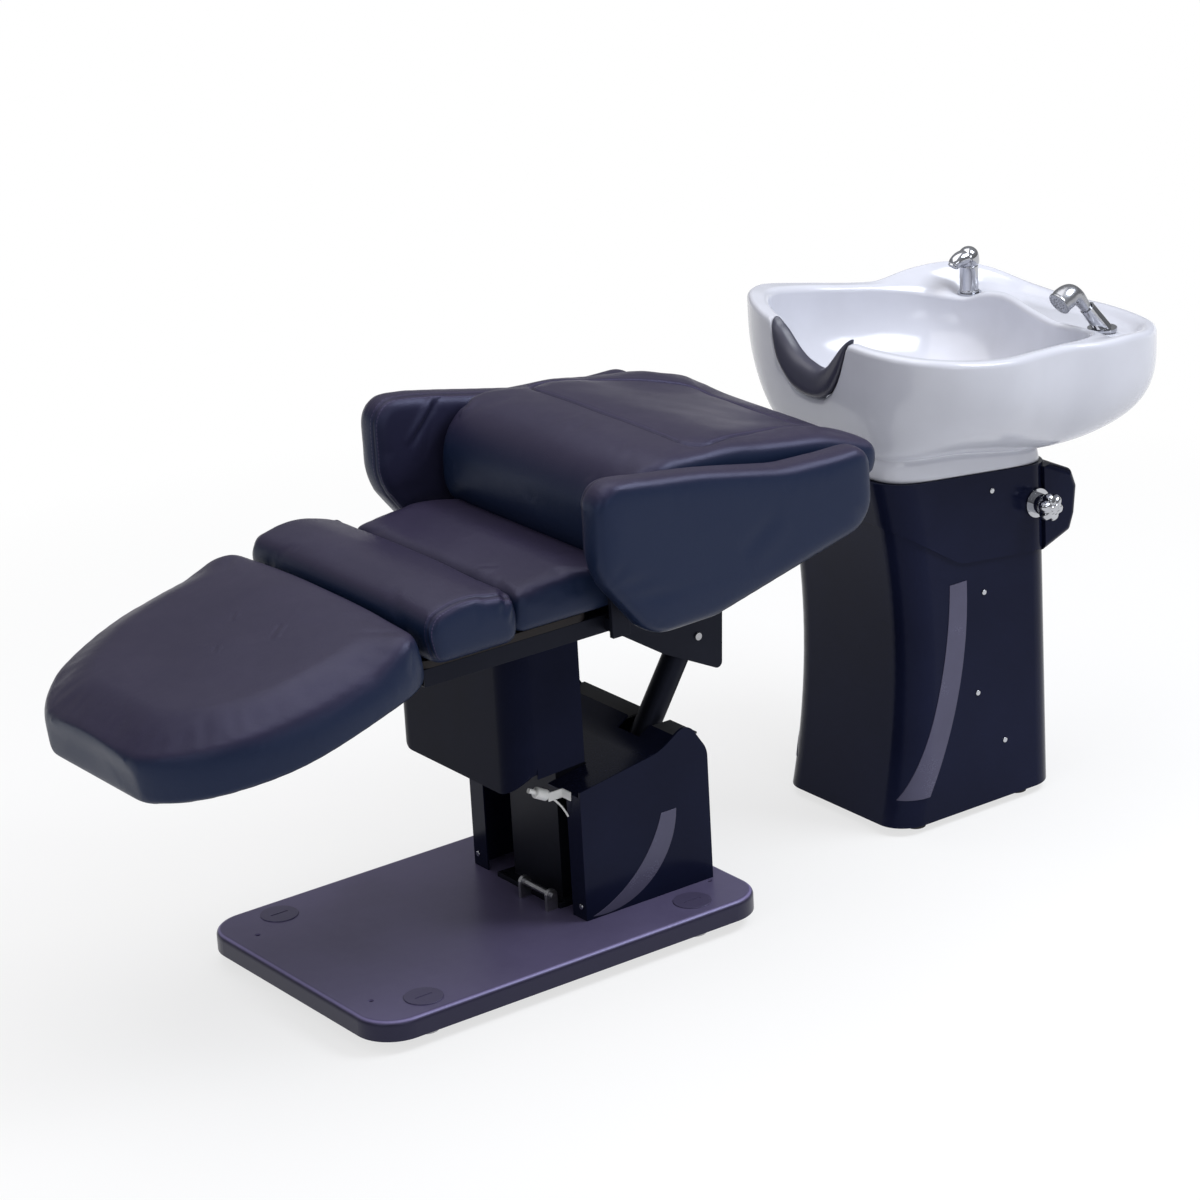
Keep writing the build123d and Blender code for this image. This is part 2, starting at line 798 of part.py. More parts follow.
def strut_foot_ears():
    """Two upright ears on the floor plate for the foot of the back actuator."""
    inner = strut_eye_width / 2 + side_clearance
    ears = []
    for side in (-1, 1):
        y0 = strut_y + side * inner
        y1 = y0 + side * foot_ear_thickness
        ear = block(strut_foot_x - foot_ear_half_width, strut_foot_x + foot_ear_half_width, min(y0, y1),
                    max(y0, y1),
                    plate_top, strut_foot_height)
        ears.append(ear + rod((strut_foot_x, min(y0, y1), strut_foot_height),
                              (strut_foot_x, max(y0, y1), strut_foot_height),
                              foot_ear_half_width))
    hole = rod((strut_foot_x, strut_y - box_half_width, strut_foot_height),
               (strut_foot_x, strut_y + box_half_width, strut_foot_height), strut_pin_radius)
    return joined(ears) - hole


def strut_foot_pin():
    """Pin through the two ears."""
    reach = strut_eye_width / 2 + side_clearance + foot_ear_thickness + pin_overhang
    return rod((strut_foot_x, strut_y - reach, strut_foot_height),
               (strut_foot_x, strut_y + reach, strut_foot_height),
               strut_pin_radius)


def plug_and_lead():
    """Plug on its clip beside the cover's open front, and the short lead that hangs from it."""
    aim = (-cos(radians(plug_tilt)), 0, sin(radians(plug_tilt)))
    heart = Vector(plug_x, plug_y, plug_height)
    body = rod(tuple(heart), tuple(heart + Vector(*aim) * plug_length), plug_radius)
    body = fillet(body.edges(), plug_round)
    nose_end = heart + Vector(*aim) * (plug_length + plug_nose_length)
    nose = rod(tuple(heart + Vector(*aim) * (plug_length - overrun)), tuple(nose_end), plug_nose_radius)
    clip_low = plug_height - clip_height / 2
    clip_y = plug_y - plug_radius
    strip_y = clip_y - clip_width / 2
    arm = block(plug_x - clip_thickness, box_front, clip_y, clip_y + clip_thickness, clip_low,
                clip_low + clip_height)
    tab = block(box_front - clip_thickness, box_front, strip_y, clip_y, clip_low, clip_low + clip_height)
    start = tuple(heart - Vector(*aim) * overrun + Vector(*aim) * plug_round)
    middle = (plug_x + lead_length / 4, plug_y - lead_length / 4, plug_height - lead_drop / 3)
    end = (box_front - 2 * lead_radius, plug_y - lead_length / 2, plug_height - lead_drop)
    path = Spline(start, middle, end)
    lead = sweep(Plane(origin=path @ 0, z_dir=path % 0) * Circle(lead_radius), path=path)
    return body + nose + arm + tab + lead


# Seat

seat_frame_high = seat_frame_low + seat_frame_tube
seat_top = seat_frame_high + seat_board_thickness


def square_tube(length, width):
    """Square tube along X from the origin."""
    outer = Pos(length / 2, 0, 0) * Box(length, width, width)
    bore = Pos(length / 2, 0, 0) * Box(length + 2 * overrun, width - 2 * tube_wall, width - 2 * tube_wall)
    return outer - bore


def seat_frame():
    """Welded frame on the head of the column."""
    level = seat_frame_low + seat_frame_tube / 2
    rail_y = seat_frame_half_width - seat_frame_tube / 2
    rail = Pos(seat_frame_front, -rail_y, level) * square_tube(seat_frame_back - seat_frame_front,
                                                               seat_frame_tube)
    frame = both_sides(rail)
    clear = seat_frame_half_width - seat_frame_tube
    bar = Rot(0, 0, quarter_turn) * square_tube(2 * clear, seat_frame_tube)
    for x in (seat_frame_front, seat_bar_x, seat_frame_back - seat_frame_tube):
        frame = frame + Pos(x + seat_frame_tube / 2, -clear, level) * bar
    head = block(head_plate_front, seat_frame_back - seat_frame_tube, -clear, clear, seat_frame_low,
                 seat_frame_low + head_plate_thickness)
    return frame + head + both_sides(leg_hinge_lugs())


def leg_hinge_lugs():
    """Pair of lugs on the front bar of the seat frame, near side."""
    half = leg_knuckle_width / 2 + side_clearance
    lugs = []
    for y in (-leg_knuckle_y - half - leg_lug_thickness, -leg_knuckle_y + half):
        arm = block(leg_hinge_x, seat_frame_front, y, y + leg_lug_thickness, seat_frame_low,
                    seat_frame_low + leg_lug_height)
        eye = rod((leg_hinge_x, y, leg_hinge_height),
                  (leg_hinge_x, y + leg_lug_thickness, leg_hinge_height),
                  leg_knuckle_radius)
        lugs.append(arm + eye)
    hole = rod((leg_hinge_x, -seat_frame_half_width, leg_hinge_height), (leg_hinge_x, 0, leg_hinge_height),
               leg_pin_radius)
    return joined(lugs) - hole


def seat_board():
    """Board under the seat cushions."""
    x0 = roll_front + seat_board_margin
    x1 = seat_flat_back - seat_board_margin
    board = RectangleRounded(x1 - x0, 2 * seat_frame_half_width, seat_board_radius)
    return Pos((x0 + x1) / 2, 0, seat_frame_high) * extrude(board, seat_board_thickness)


def roll_face(inset):
    """Side view of the seat roll."""
    points = [(roll_front_low + inset, seat_top), (roll_front + inset, seat_top + roll_front_rise - inset),
              (roll_crest_x, seat_top + roll_crest_rise - inset), (roll_back - inset,
                                                                   seat_top + roll_back_rise - inset),
              (roll_back - inset, seat_top)]
    return outline(points, [cushion_low_radius, roll_front_radius, roll_crest_radius, roll_back_radius,
                            cushion_low_radius])


def seat_roll():
    """Raised front cushion of the seat."""
    body = drawn_in(roll_face, roll_half_width, cushion_draw)
    return rounded_ends(body, -roll_half_width, roll_half_width, cushion_end_radius)


def flat_face(inset):
    """Side view of the flat part of the seat."""
    front = roll_back + seat_flat_gap
    points = [(front + inset, seat_top), (front + inset, seat_top + seat_flat_front_rise - inset),
              (seat_flat_back - inset, seat_top + seat_flat_back_rise - inset), (seat_flat_back - inset,
                                                                                 seat_top)]
    return outline(points, [seat_flat_low_radius, seat_flat_front_radius, seat_flat_back_radius,
                            seat_flat_low_radius])


def seat_cushion():
    """Flat rear cushion of the seat."""
    body = drawn_in(flat_face, seat_flat_half_width, cushion_draw / 2)
    return rounded_ends(body, -seat_flat_half_width, seat_flat_half_width, seat_flat_end_radius)


def skirt_solid(inset):
    """The shroud as a filled body, all its sheets drawn in by the inset."""
    front = skirt_front + inset
    half = skirt_half_width - inset
    low = skirt_low - overrun * (inset > 0)
    plan = block(front, skirt_back + inset, -half, half, low, skirt_high + inset)
    corners = plan.edges().filter_by(Axis.Z).sort_by(Axis.X)[:2]
    plan = fillet(corners, skirt_corner_radius - inset)
    return plan


def skirt():
    """Shroud that hangs from the seat and hides the column, open at the back and below."""
    shell = skirt_solid(0) - skirt_solid(sheet)
    gap = block(skirt_front + skirt_corner_radius, skirt_back + overrun, -skirt_half_width,
                skirt_half_width,
                skirt_low - overrun, skirt_high + overrun)
    front_view = FilletPolyline((-skirt_half_width, skirt_high), (-skirt_half_width, skirt_low),
                                (skirt_half_width, skirt_low), (skirt_half_width, skirt_high),
                                radius=[0, skirt_low_radius, skirt_low_radius, 0], close=True)
    keep = extrude(Plane.YZ.offset(skirt_front - overrun) * make_face(front_view),
                   skirt_corner_radius + overrun)
    side_view = [(skirt_front + skirt_corner_radius, skirt_low + skirt_low_radius / 2),
                 (skirt_back, skirt_back_low),
                 (skirt_back, skirt_high), (skirt_front + skirt_corner_radius, skirt_high)]
    side_keep = side_slab(make_face(Polyline(*side_view, close=True)), -skirt_half_width, skirt_half_width)
    return (shell & keep) + (shell & gap & side_keep)


def seat_hinge_plates():
    """Upright plates outside the seat frame that carry the backrest's pins."""
    outer = hinge_plate_y + hinge_plate_thickness
    half = hinge_plate_radius
    plate = block(back_hinge_x - half, back_hinge_x + half, -outer, -hinge_plate_y, seat_frame_low,
                  back_hinge_height)
    head = rod((back_hinge_x, -outer, back_hinge_height), (back_hinge_x, -hinge_plate_y, back_hinge_height),
               half)
    bracket = block(hinge_bracket_front, hinge_bracket_back, -hinge_plate_y, -seat_frame_half_width,
                    hinge_bracket_low, hinge_bracket_high)
    hole = rod((back_hinge_x, -outer - overrun, back_hinge_height),
               (back_hinge_x, -hinge_plate_y + overrun, back_hinge_height), hinge_pin_radius)
    return both_sides(plate + head + bracket - hole)


def back_hinge_pins():
    """The two pins on which the backrest turns."""
    inner = -hinge_plate_y
    outer = -hinge_plate_y - 2 * hinge_plate_thickness - 2 * side_clearance
    shank = rod((back_hinge_x, outer, back_hinge_height), (back_hinge_x, inner, back_hinge_height),
                hinge_pin_radius)
    head = rod((back_hinge_x, outer - hinge_pin_head, back_hinge_height),
               (back_hinge_x, outer, back_hinge_height),
               hinge_pin_head_radius)
    return both_sides(shank + head)


def leg_hinge_pins():
    """The two pins on which the leg rest turns."""
    reach = leg_knuckle_width / 2 + side_clearance + leg_lug_thickness + pin_overhang
    return both_sides(rod((leg_hinge_x, -leg_knuckle_y - reach, leg_hinge_height),
                          (leg_hinge_x, -leg_knuckle_y + reach, leg_hinge_height), leg_pin_radius))


# Leg rest. Its own frame has its origin at the crease with the seat and runs to -X along the cushion's top.

leg_place = Pos(leg_top_x, 0, leg_hinge_height + leg_top_rise) * Rot(0, -leg_tilt, 0)
leg_turn = radians(leg_tilt)
leg_pin_u = (leg_hinge_x - leg_top_x) * cos(leg_turn) - leg_top_rise * sin(leg_turn)
leg_pin_w = -leg_top_rise * cos(leg_turn) - (leg_hinge_x - leg_top_x) * sin(leg_turn)


def cushion_section(half_width, depth, edge_radius, foot_radius):
    """Cross-section of the leg cushion: crowned on top, its sides bowed out between two rounded edges."""
    side = half_width - leg_draw
    top = -leg_crown
    slant = cos(radians(half_angle))
    foot = (side - foot_radius, -depth)
    hip = (side, foot_radius - depth)
    brow = (side, top - edge_radius)
    rim = (side - edge_radius, top)
    low_arc = (side - foot_radius + foot_radius * slant, foot_radius - depth - foot_radius * slant)
    high_arc = (side - edge_radius + edge_radius * slant, top - edge_radius + edge_radius * slant)
    belly = (half_width, (hip[1] + brow[1]) / 2)

    def other(point):
        return (-point[0], point[1])

    edges = [Line(other(foot), foot), ThreePointArc(foot, low_arc, hip), ThreePointArc(hip, belly, brow),
             ThreePointArc(brow, high_arc, rim), ThreePointArc(rim, (0, 0), other(rim)),
             ThreePointArc(other(rim), other(high_arc), other(brow)),
             ThreePointArc(other(brow), other(belly), other(hip)),
             ThreePointArc(other(hip), other(low_arc), other(foot))]
    return make_face(edges)


def leg_cushion():
    """Leg rest cushion: wide at the knees, narrower and rounded at the toes."""
    sections = []
    for station, width, depth in zip(leg_station_shares, leg_width_shares, leg_depth_shares):
        face = cushion_section(leg_half_width * width, leg_depth * depth, leg_edge_radius * depth,
                               leg_foot_radius * depth)
        drop = leg_depth * (1 - depth) / 2
        plane = Plane(origin=(-leg_length * station, 0, -drop), x_dir=(0, 1, 0), z_dir=(1, 0, 0))
        sections.append(plane * face)
    under = block(-leg_length, 0, -leg_half_width, leg_half_width, -2 * leg_depth, -leg_depth)
    return leg_place * (loft(sections) - under)


def leg_board():
    """Board under the leg cushion with its hinge knuckles."""
    points = [(-leg_board_start, -leg_board_half_width), (-leg_board_start, leg_board_half_width),
              (-leg_board_wide_end, leg_board_half_width), (-leg_board_end, leg_board_tip_half_width),
              (-leg_board_end, -leg_board_tip_half_width), (-leg_board_wide_end, -leg_board_half_width)]
    high = -leg_depth
    board = plan_plate(points, leg_board_radius, high - leg_board_thickness, high)
    for y in (-leg_knuckle_y, leg_knuckle_y):
        y0 = y - leg_knuckle_width / 2
        y1 = y + leg_knuckle_width / 2
        arm = block(-leg_knuckle_reach, leg_pin_u, y0, y1, leg_pin_w - leg_knuckle_radius,
                    high - leg_board_thickness)
        eye = rod((leg_pin_u, y0, leg_pin_w), (leg_pin_u, y1, leg_pin_w), leg_knuckle_radius)
        board = board + arm + eye
    hole = rod((leg_pin_u, -leg_half_width, leg_pin_w), (leg_pin_u, leg_half_width, leg_pin_w),
               leg_pin_radius + running_clearance)
    return leg_place * (board - hole)


def link_lug(hinge_x, hinge_height):
    """Where a link pin stands for a hinge at the given place."""
    return hinge_x + link_drop_x, hinge_height + link_drop_z


def leg_link_lug():
    """Lug under the leg board, with the pin that the link pushes."""
    x, z = link_lug(leg_hinge_x, leg_hinge_height)
    inner = link_y + link_width / 2 + side_clearance
    outer = inner + link_lug_thickness
    points = [(link_lug_front_x, link_lug_front_height), (x - link_eye_radius, z), (x + link_eye_radius, z),
              (link_lug_back_x, link_lug_back_height)]
    plate = side_slab(make_face(Polyline(*points, close=True)), inner, outer)
    eye = rod((x, inner, z), (x, outer, z), link_eye_radius)
    pin = rod((x, link_y - link_width / 2 - side_clearance, z), (x, outer, z), link_pin_radius)
    lug = plate + eye + pin
    return lug - leg_place * block(-leg_length, leg_pin_u, link_y - link_width, outer + overrun,
                                   -leg_depth - leg_board_thickness, 0)


# Backrest. The board lies along the cushion's underside, which rises to the head.

keel_x = back_front + (back_head_x - back_front) * back_outline_shares[-1][0]
head_low_x = back_front + (back_head_x - back_front) * back_outline_shares[4][0]
head_low_height = back_low + (back_crest_height - back_low) * back_outline_shares[4][1]
back_rise = degrees(atan2(head_low_height - back_low, head_low_x - keel_x))
board_place = Pos(keel_x, 0, back_low - board_gap) * Rot(0, -back_rise, 0)
rail_low = -back_board_thickness - back_rail


def back_face(inset):
    """Side view of the back cushion."""
    points = scaled_points(back_outline_shares, back_front, back_head_x, back_low, back_crest_height, inset)
    points[-1] = (points[-1][0], points[-1][1] - inset)
    height = back_crest_height - back_low
    return outline(points, [height * share for share in back_radius_shares])


def seam_ring():
    """Upright ring that follows the sewn line of the inset panel."""
    points = [(panel_front, -panel_front_half_width), (panel_front, panel_front_half_width),
              (panel_back, panel_back_half_width), (panel_back, -panel_back_half_width)]
    panel = outline(points, [panel_corner_radius, panel_corner_radius, panel_back_radius,
                             panel_back_radius])
    ring = panel - offset(panel, -seam_width)
    return extrude(Pos(0, 0, back_low) * ring, back_crest_height - back_low + overrun)


def back_cushion():
    """Back cushion with the sewn channel of its inset panel."""
    body = drawn_in(back_face, back_half_width, back_draw)
    body = rounded_ends(body, -back_half_width, back_half_width, back_end_radius)
    return body - (seam_ring() - Pos(0, 0, -seam_depth) * body)


def back_board():
    """Board under the back cushion."""
    board = RectangleRounded(back_board_length, 2 * back_board_half_width, back_board_radius)
    return board_place * Pos(back_board_length / 2, 0, -back_board_thickness) * extrude(board,
                                                                                        back_board_thickness)


def back_frame():
    """Rails and crossbars under the board, with the straps that reach forward to the hinge pins."""
    level = rail_low + back_rail / 2
    frame = both_sides(Pos(0, -back_rail_y, level) * square_tube(back_board_length, back_rail))
    frame = frame + tube_across(-back_rail / 2, -arm_inner, arm_inner, level)
    clear = back_rail_y - back_rail / 2
    frame = frame + tube_across(back_bar_x, -clear, clear, level)
    frame = frame + both_sides(tube_across(back_bar_x, -arm_inner, -clear - back_rail, level))
    frame = board_place * frame
    inner = hinge_plate_y + hinge_plate_thickness + side_clearance
    outer = inner + hinge_plate_thickness
    end = board_place * Pos(0, 0, level)
    strap_x = end.position.X
    strap_z = end.position.Z
    half = strap_height / 2
    points = [(back_hinge_x, back_hinge_height + half), (back_hinge_x, back_hinge_height - half),
              (strap_x, strap_z - back_rail / 2), (strap_x, strap_z + back_rail / 2)]
    strap = side_slab(make_face(Polyline(*points, close=True)), -outer, -inner)
    eye = rod((back_hinge_x, -outer, back_hinge_height), (back_hinge_x, -inner, back_hinge_height),
              hinge_plate_radius)
    frame = frame + both_sides(strap + eye) + back_link_lug(inner, outer)
    hole = rod((back_hinge_x, -arm_inner, back_hinge_height), (back_hinge_x, arm_inner, back_hinge_height),
               hinge_pin_radius + running_clearance)
    return frame - hole


def tube_across(x, low_y, high_y, level):
    """Square crossbar of the back frame."""
    bar = Rot(0, 0, quarter_turn) * square_tube(high_y - low_y, back_rail)
    return Pos(x, low_y, level) * bar


def back_link_lug(inner, outer):
    """Lug on the far strap, with the pin that moves the link."""
    x, z = link_lug(back_hinge_x, back_hinge_height)
    length = hypot(link_drop_x, link_drop_z)
    across_x = -link_drop_z / length
    across_z = link_drop_x / length
    points = [(back_hinge_x - hinge_plate_radius * across_x,
               back_hinge_height - hinge_plate_radius * across_z),
              (x - link_eye_radius * across_x, z - link_eye_radius * across_z),
              (x + link_eye_radius * across_x, z + link_eye_radius * across_z),
              (back_hinge_x + hinge_plate_radius * across_x,
               back_hinge_height + hinge_plate_radius * across_z)]
    plate = side_slab(make_face(Polyline(*points, close=True)), inner, outer)
    eye = rod((x, inner, z), (x, outer, z), link_eye_radius)
    pin = rod((x, link_y - link_width / 2 - side_clearance, z), (x, outer, z), link_pin_radius)
    return plate + eye + pin


def arm_face(inset):
    """Side view of an arm."""
    points = scaled_points(arm_outline_shares, arm_front, arm_back, arm_low, arm_high, inset)
    height = arm_high - arm_low
    return outline(points, [height * share for share in arm_radius_shares])


def arm_near():
    """Padded arm on the near side of the backrest."""
    half = (arm_outer - arm_inner) / 2
    body = drawn_in(arm_face, half, arm_draw)
    body = rounded_ends(body, -half, half, arm_edge_radius)
    return Pos(0, -arm_inner - half, 0) * body


def levers():
    """The two fins under the backrest that the actuator pushes."""
    high = (board_place * Pos(back_bar_x - back_rail, 0, rail_low)).position.Z
    points = scaled_points(lever_outline_shares, lever_front_x, lever_back_x, lever_low, high)
    plate = outline(points, lever_corner_radius)
    near = side_slab(plate, -lever_y - lever_thickness / 2, lever_thickness / 2 - lever_y)
    hole = rod((strut_pin_x, -lever_y - lever_thickness, strut_pin_height),
               (strut_pin_x, 0, strut_pin_height),
               strut_pin_radius)
    room = board_place * block(-back_board_length, back_board_length, -back_board_half_width,
                               back_board_half_width,
                               rail_low, back_low)
    return both_sides(near - hole - room)


def lever_pin():
    """Pin across the two fins, which carries the head of the actuator."""
    reach = lever_y + lever_thickness / 2 + pin_overhang
    return rod((strut_pin_x, -reach, strut_pin_height), (strut_pin_x, reach, strut_pin_height),
               strut_pin_radius)


def link_rod():
    """Link from the backrest's lug to the leg rest's lug."""
    back_x, back_z = link_lug(back_hinge_x, back_hinge_height)
    leg_x, leg_z = link_lug(leg_hinge_x, leg_hinge_height)
    low_y = link_y - link_width / 2
    high_y = link_y + link_width / 2
    link = rod((leg_x, link_y, leg_z), (back_x, link_y, back_z), link_rod_radius)
    for x, z in ((leg_x, leg_z), (back_x, back_z)):
        link = link + rod((x, low_y, z), (x, high_y, z), link_eye_radius)
    for x, z in ((leg_x, leg_z), (back_x, back_z)):
        link = link - rod((x, low_y - overrun, z), (x, high_y + overrun, z),
                          link_pin_radius + running_clearance)
    return link


# Actuator of the backrest: its frame has its origin at the foot pin and runs along the rod.

strut_angle = degrees(atan2(strut_pin_x - strut_foot_x, strut_pin_height - strut_foot_height))
strut_length = hypot(strut_pin_x - strut_foot_x, strut_pin_height - strut_foot_height)
strut_place = Pos(strut_foot_x, strut_y, strut_foot_height) * Rot(0, strut_angle, 0)


def strut_rod():
    """Sliding rod with the eye that turns on the lever pin."""
    bar = rod((0, 0, strut_rod_foot), (0, 0, strut_length), strut_rod_radius)
    half = strut_eye_width / 2
    eye = rod((0, -half, strut_length), (0, half, strut_length), strut_eye_radius)
    hole = rod((0, -half - overrun, strut_length), (0, half + overrun, strut_length),
               strut_pin_radius + running_clearance)
    return strut_place * (bar + eye - hole)


def strut_tube():
    """Outer tube with the wide eye round the foot pin."""
    half = strut_eye_width / 2
    hole_radius = strut_pin_radius + strut_float
    tube = rod((0, 0, strut_neck), (0, 0, strut_tube_reach), strut_tube_radius)
    tube = fillet(tube.faces().sort_by(Axis.Z)[-1].edges(), sheet)
    neck = block(-half, half, -half, half, hole_radius, strut_neck)
    eye = rod((0, -half, 0), (0, half, 0), hole_radius + strut_foot_wall)
    hole = rod((0, -half - overrun, 0), (0, half + overrun, 0), hole_radius)
    bore = rod((0, 0, strut_bore_foot), (0, 0, strut_length), strut_rod_radius + running_clearance)
    return strut_place * (tube + neck + eye - hole - bore)


# Pedestal of the basin

basin_turn = radians(basin_tilt)


def rim_height(x, drop):
    """Height over the floor of the plane that lies the given drop under the rim."""
    return basin_front_height - drop - (x - basin_front) * tan(basin_turn)


def pedestal_body(grow):
    """The pedestal as a filled body, grown on its upright sides."""
    front = pedestal_front - grow
    back = pedestal_back + grow
    half = pedestal_half_width + grow
    high_front = (front, rim_height(front, basin_depth))
    high_back = (back, rim_height(back, basin_depth))
    middle = (pedestal_waist - grow, (pedestal_low + high_front[1]) / 2)
    edges = [Line((front, pedestal_low), (back, pedestal_low)), Line((back, pedestal_low), high_back),
             Line(high_back, high_front), ThreePointArc(high_front, middle, (front, pedestal_low))]
    body = side_slab(make_face(edges), -half, half)
    uprights = [edge for edge in body.edges() if abs((edge @ 0 - edge @ 1).Z) > pedestal_half_width]
    return fillet(uprights, pedestal_corner_radius + grow)


def pedestal_shell():
    """Cover of the pedestal, open above and below."""
    return pedestal_body(0) - pedestal_body(-pedestal_wall)


def pedestal_top():
    """Sloping plate in the mouth of the pedestal that carries the basin."""
    low = side_slab(make_face(Polyline(
        (pedestal_front, rim_height(pedestal_front, basin_depth + top_plate_thickness)),
        (pedestal_back, rim_height(pedestal_back, basin_depth + top_plate_thickness)),
        (pedestal_back, rim_height(pedestal_back, basin_depth)),
        (pedestal_front, rim_height(pedestal_front, basin_depth)), close=True)),
        -pedestal_half_width, pedestal_half_width)
    hole = rod((drain_x, 0, pedestal_low), (drain_x, 0, basin_front_height), top_plate_hole_radius)
    return (pedestal_body(-pedestal_wall) & low) - hole


pedestal_x = (pedestal_front + pedestal_back) / 2


def pedestal_floor():
    """Floor plate inside the pedestal, with its fixing holes and the way out of the drain."""
    floor_high = pedestal_low + pedestal_floor_thickness
    floor_slab = block(pedestal_front, pedestal_back, -pedestal_half_width, pedestal_half_width,
                       pedestal_low, floor_high)
    floor = pedestal_body(-pedestal_wall) & floor_slab
    bolt = rod((0, 0, 0), (0, 0, pedestal_low + floor_high), pedestal_bolt_radius)
    for hole in four_corners(bolt, pedestal_bolt_x, pedestal_bolt_y, pedestal_x):
        floor = floor - hole
    return floor - rod((drain_x, 0, 0), (drain_x, 0, pedestal_low + floor_high), drain_hole_radius)


def pedestal_feet():
    """Four round pads under the pedestal's floor plate."""
    pad = rod((0, 0, 0), (0, 0, pedestal_low), pedestal_foot_radius)
    span_x = pedestal_back - pedestal_front - 2 * pedestal_foot_inset
    span_y = 2 * (pedestal_half_width - pedestal_foot_inset / 2 - pedestal_wall)
    return joined(four_corners(pad, span_x, span_y, pedestal_x))


def bulge_face(inset):
    """Side view of the housing behind the pedestal's head."""
    points = scaled_points(bulge_outline_shares, bulge_front, bulge_back, bulge_low, bulge_high, inset)
    return outline(points, [0, bulge_radius, bulge_radius, bulge_radius, bulge_radius, 0, 0])


def pedestal_collar():
    """Upper skin of the pedestal with the housing behind it."""
    points = [(pedestal_front - pedestal_wall - overrun, collar_front_low),
              (collar_mid_x, collar_mid_low), (pedestal_back + collar_thickness + overrun, collar_back_low),
              (pedestal_back + collar_thickness + overrun, basin_front_height),
              (pedestal_front - pedestal_wall - overrun, basin_front_height)]
    region = side_slab(outline(points, [0, collar_mid_radius, 0, 0, 0]), -basin_half_width,
                       basin_half_width)
    skin = pedestal_body(collar_thickness) & region
    half = pedestal_half_width + collar_thickness
    housing = side_slab(bulge_face(0), -half, half)
    rear = [edge for edge in housing.edges() if (edge @ 0).X > pedestal_back and (edge @ 1).X > pedestal_back
            and abs((edge @ 0 - edge @ 1).Y) < half]
    housing = fillet(rear, bulge_edge_radius)
    room = side_slab(bulge_face(bulge_wall), bulge_wall - half, half - bulge_wall)
    return skin + (housing - room) - pedestal_body(0)


def pedestal_trim():
    """Raised curved bands on both sides of the pedestal."""
    front = ThreePointArc((trim_top_front, trim_top_height), (trim_mid_front, trim_mid_height),
                          (trim_low_front, trim_low_height))
    back = ThreePointArc((trim_low_back, trim_low_height), (trim_mid_back, trim_mid_height),
                         (trim_top_back, trim_top_height))
    band = make_face([front, Line(front @ 1, back @ 0), back, Line(back @ 1, front @ 0)])
    near = side_slab(band, -pedestal_half_width - pedestal_wall, -pedestal_half_width / 2)
    return both_sides((pedestal_body(trim_proud) & near) - pedestal_body(0))


def pedestal_screws():
    """Cover screws on both side faces of the pedestal."""
    heads = []
    places = [(screw_upper_x, screw_upper_height, collar_thickness),
              (screw_middle_x, screw_middle_height, 0),
              (screw_lower_x, screw_lower_height, 0), (screw_foot_x, screw_foot_height, 0)]
    for x, level, proud in places:
        heads.append(Pos(x, -pedestal_half_width - proud, level) * Rot(quarter_turn, 0, 0) * screw_head())
    return both_sides(joined(heads))


# Basin. Its sections lie in planes that fall to the back with the rim.

def basin_plane(drop):
    """Plane the given drop under the rim, its origin above the basin's front end."""
    return Plane(origin=(basin_front, 0, basin_front_height - drop),
                 x_dir=(cos(basin_turn), 0, -sin(basin_turn)),
                 z_dir=(sin(basin_turn), 0, cos(basin_turn)))


def basin_section(drop, mix):
    """Outline of the bowl's outside: the rim's plan blended with the foot's plan."""
    reach = 1 / cos(basin_turn)
    half_points = []
    for rim, foot in zip(basin_plan_shares, foot_plan_shares):
        rim_x = (basin_back - basin_front) * rim[0]
        foot_x = basin_foot_front - basin_front + (basin_foot_back - basin_foot_front) * foot[0]
        rim_y = basin_half_width * rim[1]
        foot_y = basin_foot_half_width * foot[1]
        half_points.append(((rim_x + (foot_x - rim_x) * mix) * reach, rim_y + (foot_y - rim_y) * mix))
    start = ((basin_foot_front - basin_front) * mix * reach, 0)
    end = ((basin_back - basin_front + (basin_foot_back - basin_back) * mix) * reach, 0)
    return mirrored_spline(start, half_points, end, basin_plane(drop))


def mirrored_spline(start, half_points, end, plane):
    """Closed smooth outline through points on one side and their mirror images on the other."""
    far = Spline(start, *half_points, end, tangents=[(0, 1), (0, -1)])
    near = Spline(end, *[(x, -y) for x, y in reversed(half_points)], start, tangents=[(0, -1), (0, 1)])
    return plane * make_face([far, near])


def bowl_section(drop, size):
    """Outline of the bowl's inside, drawn in to its middle by the size."""
    length = bowl_back - bowl_front
    middle = (bowl_front + bowl_back) / 2 - basin_front
    half = length / 2 * size
    points = [(middle - half + 2 * half * u, bowl_half_width * v * size) for u, v in bowl_plan_shares]
    return mirrored_spline((middle - half, 0), points, (middle + half, 0), basin_plane(drop))


def basin_outside():
    """The basin as a filled body on its foot."""
    sections = [basin_section(basin_depth * level, mix)
                for level, mix in zip(basin_level_shares, basin_foot_mix_shares)]
    bowl = loft(sections)
    foot = RectangleRounded(basin_foot_back - basin_foot_front, 2 * basin_foot_half_width,
                            basin_foot_radius)
    middle = (basin_foot_front + basin_foot_back) / 2 - basin_front
    band = extrude(basin_plane(basin_depth) * Pos(middle, 0, 0) * foot, basin_foot_band)
    return bowl + band


def neck_notch(inset, x0, x1, high):
    """Trough through the front wall, drawn in by the inset."""
    half = notch_half_width - inset
    low = basin_front_height - notch_drop + inset
    face = FilletPolyline((-half, high), (-half, low), (half, low), (half, high),
                          radius=[0, notch_radius - inset, notch_radius - inset, 0], close=True)
    return extrude(Plane.YZ.offset(x0) * make_face(face), x1 - x0)


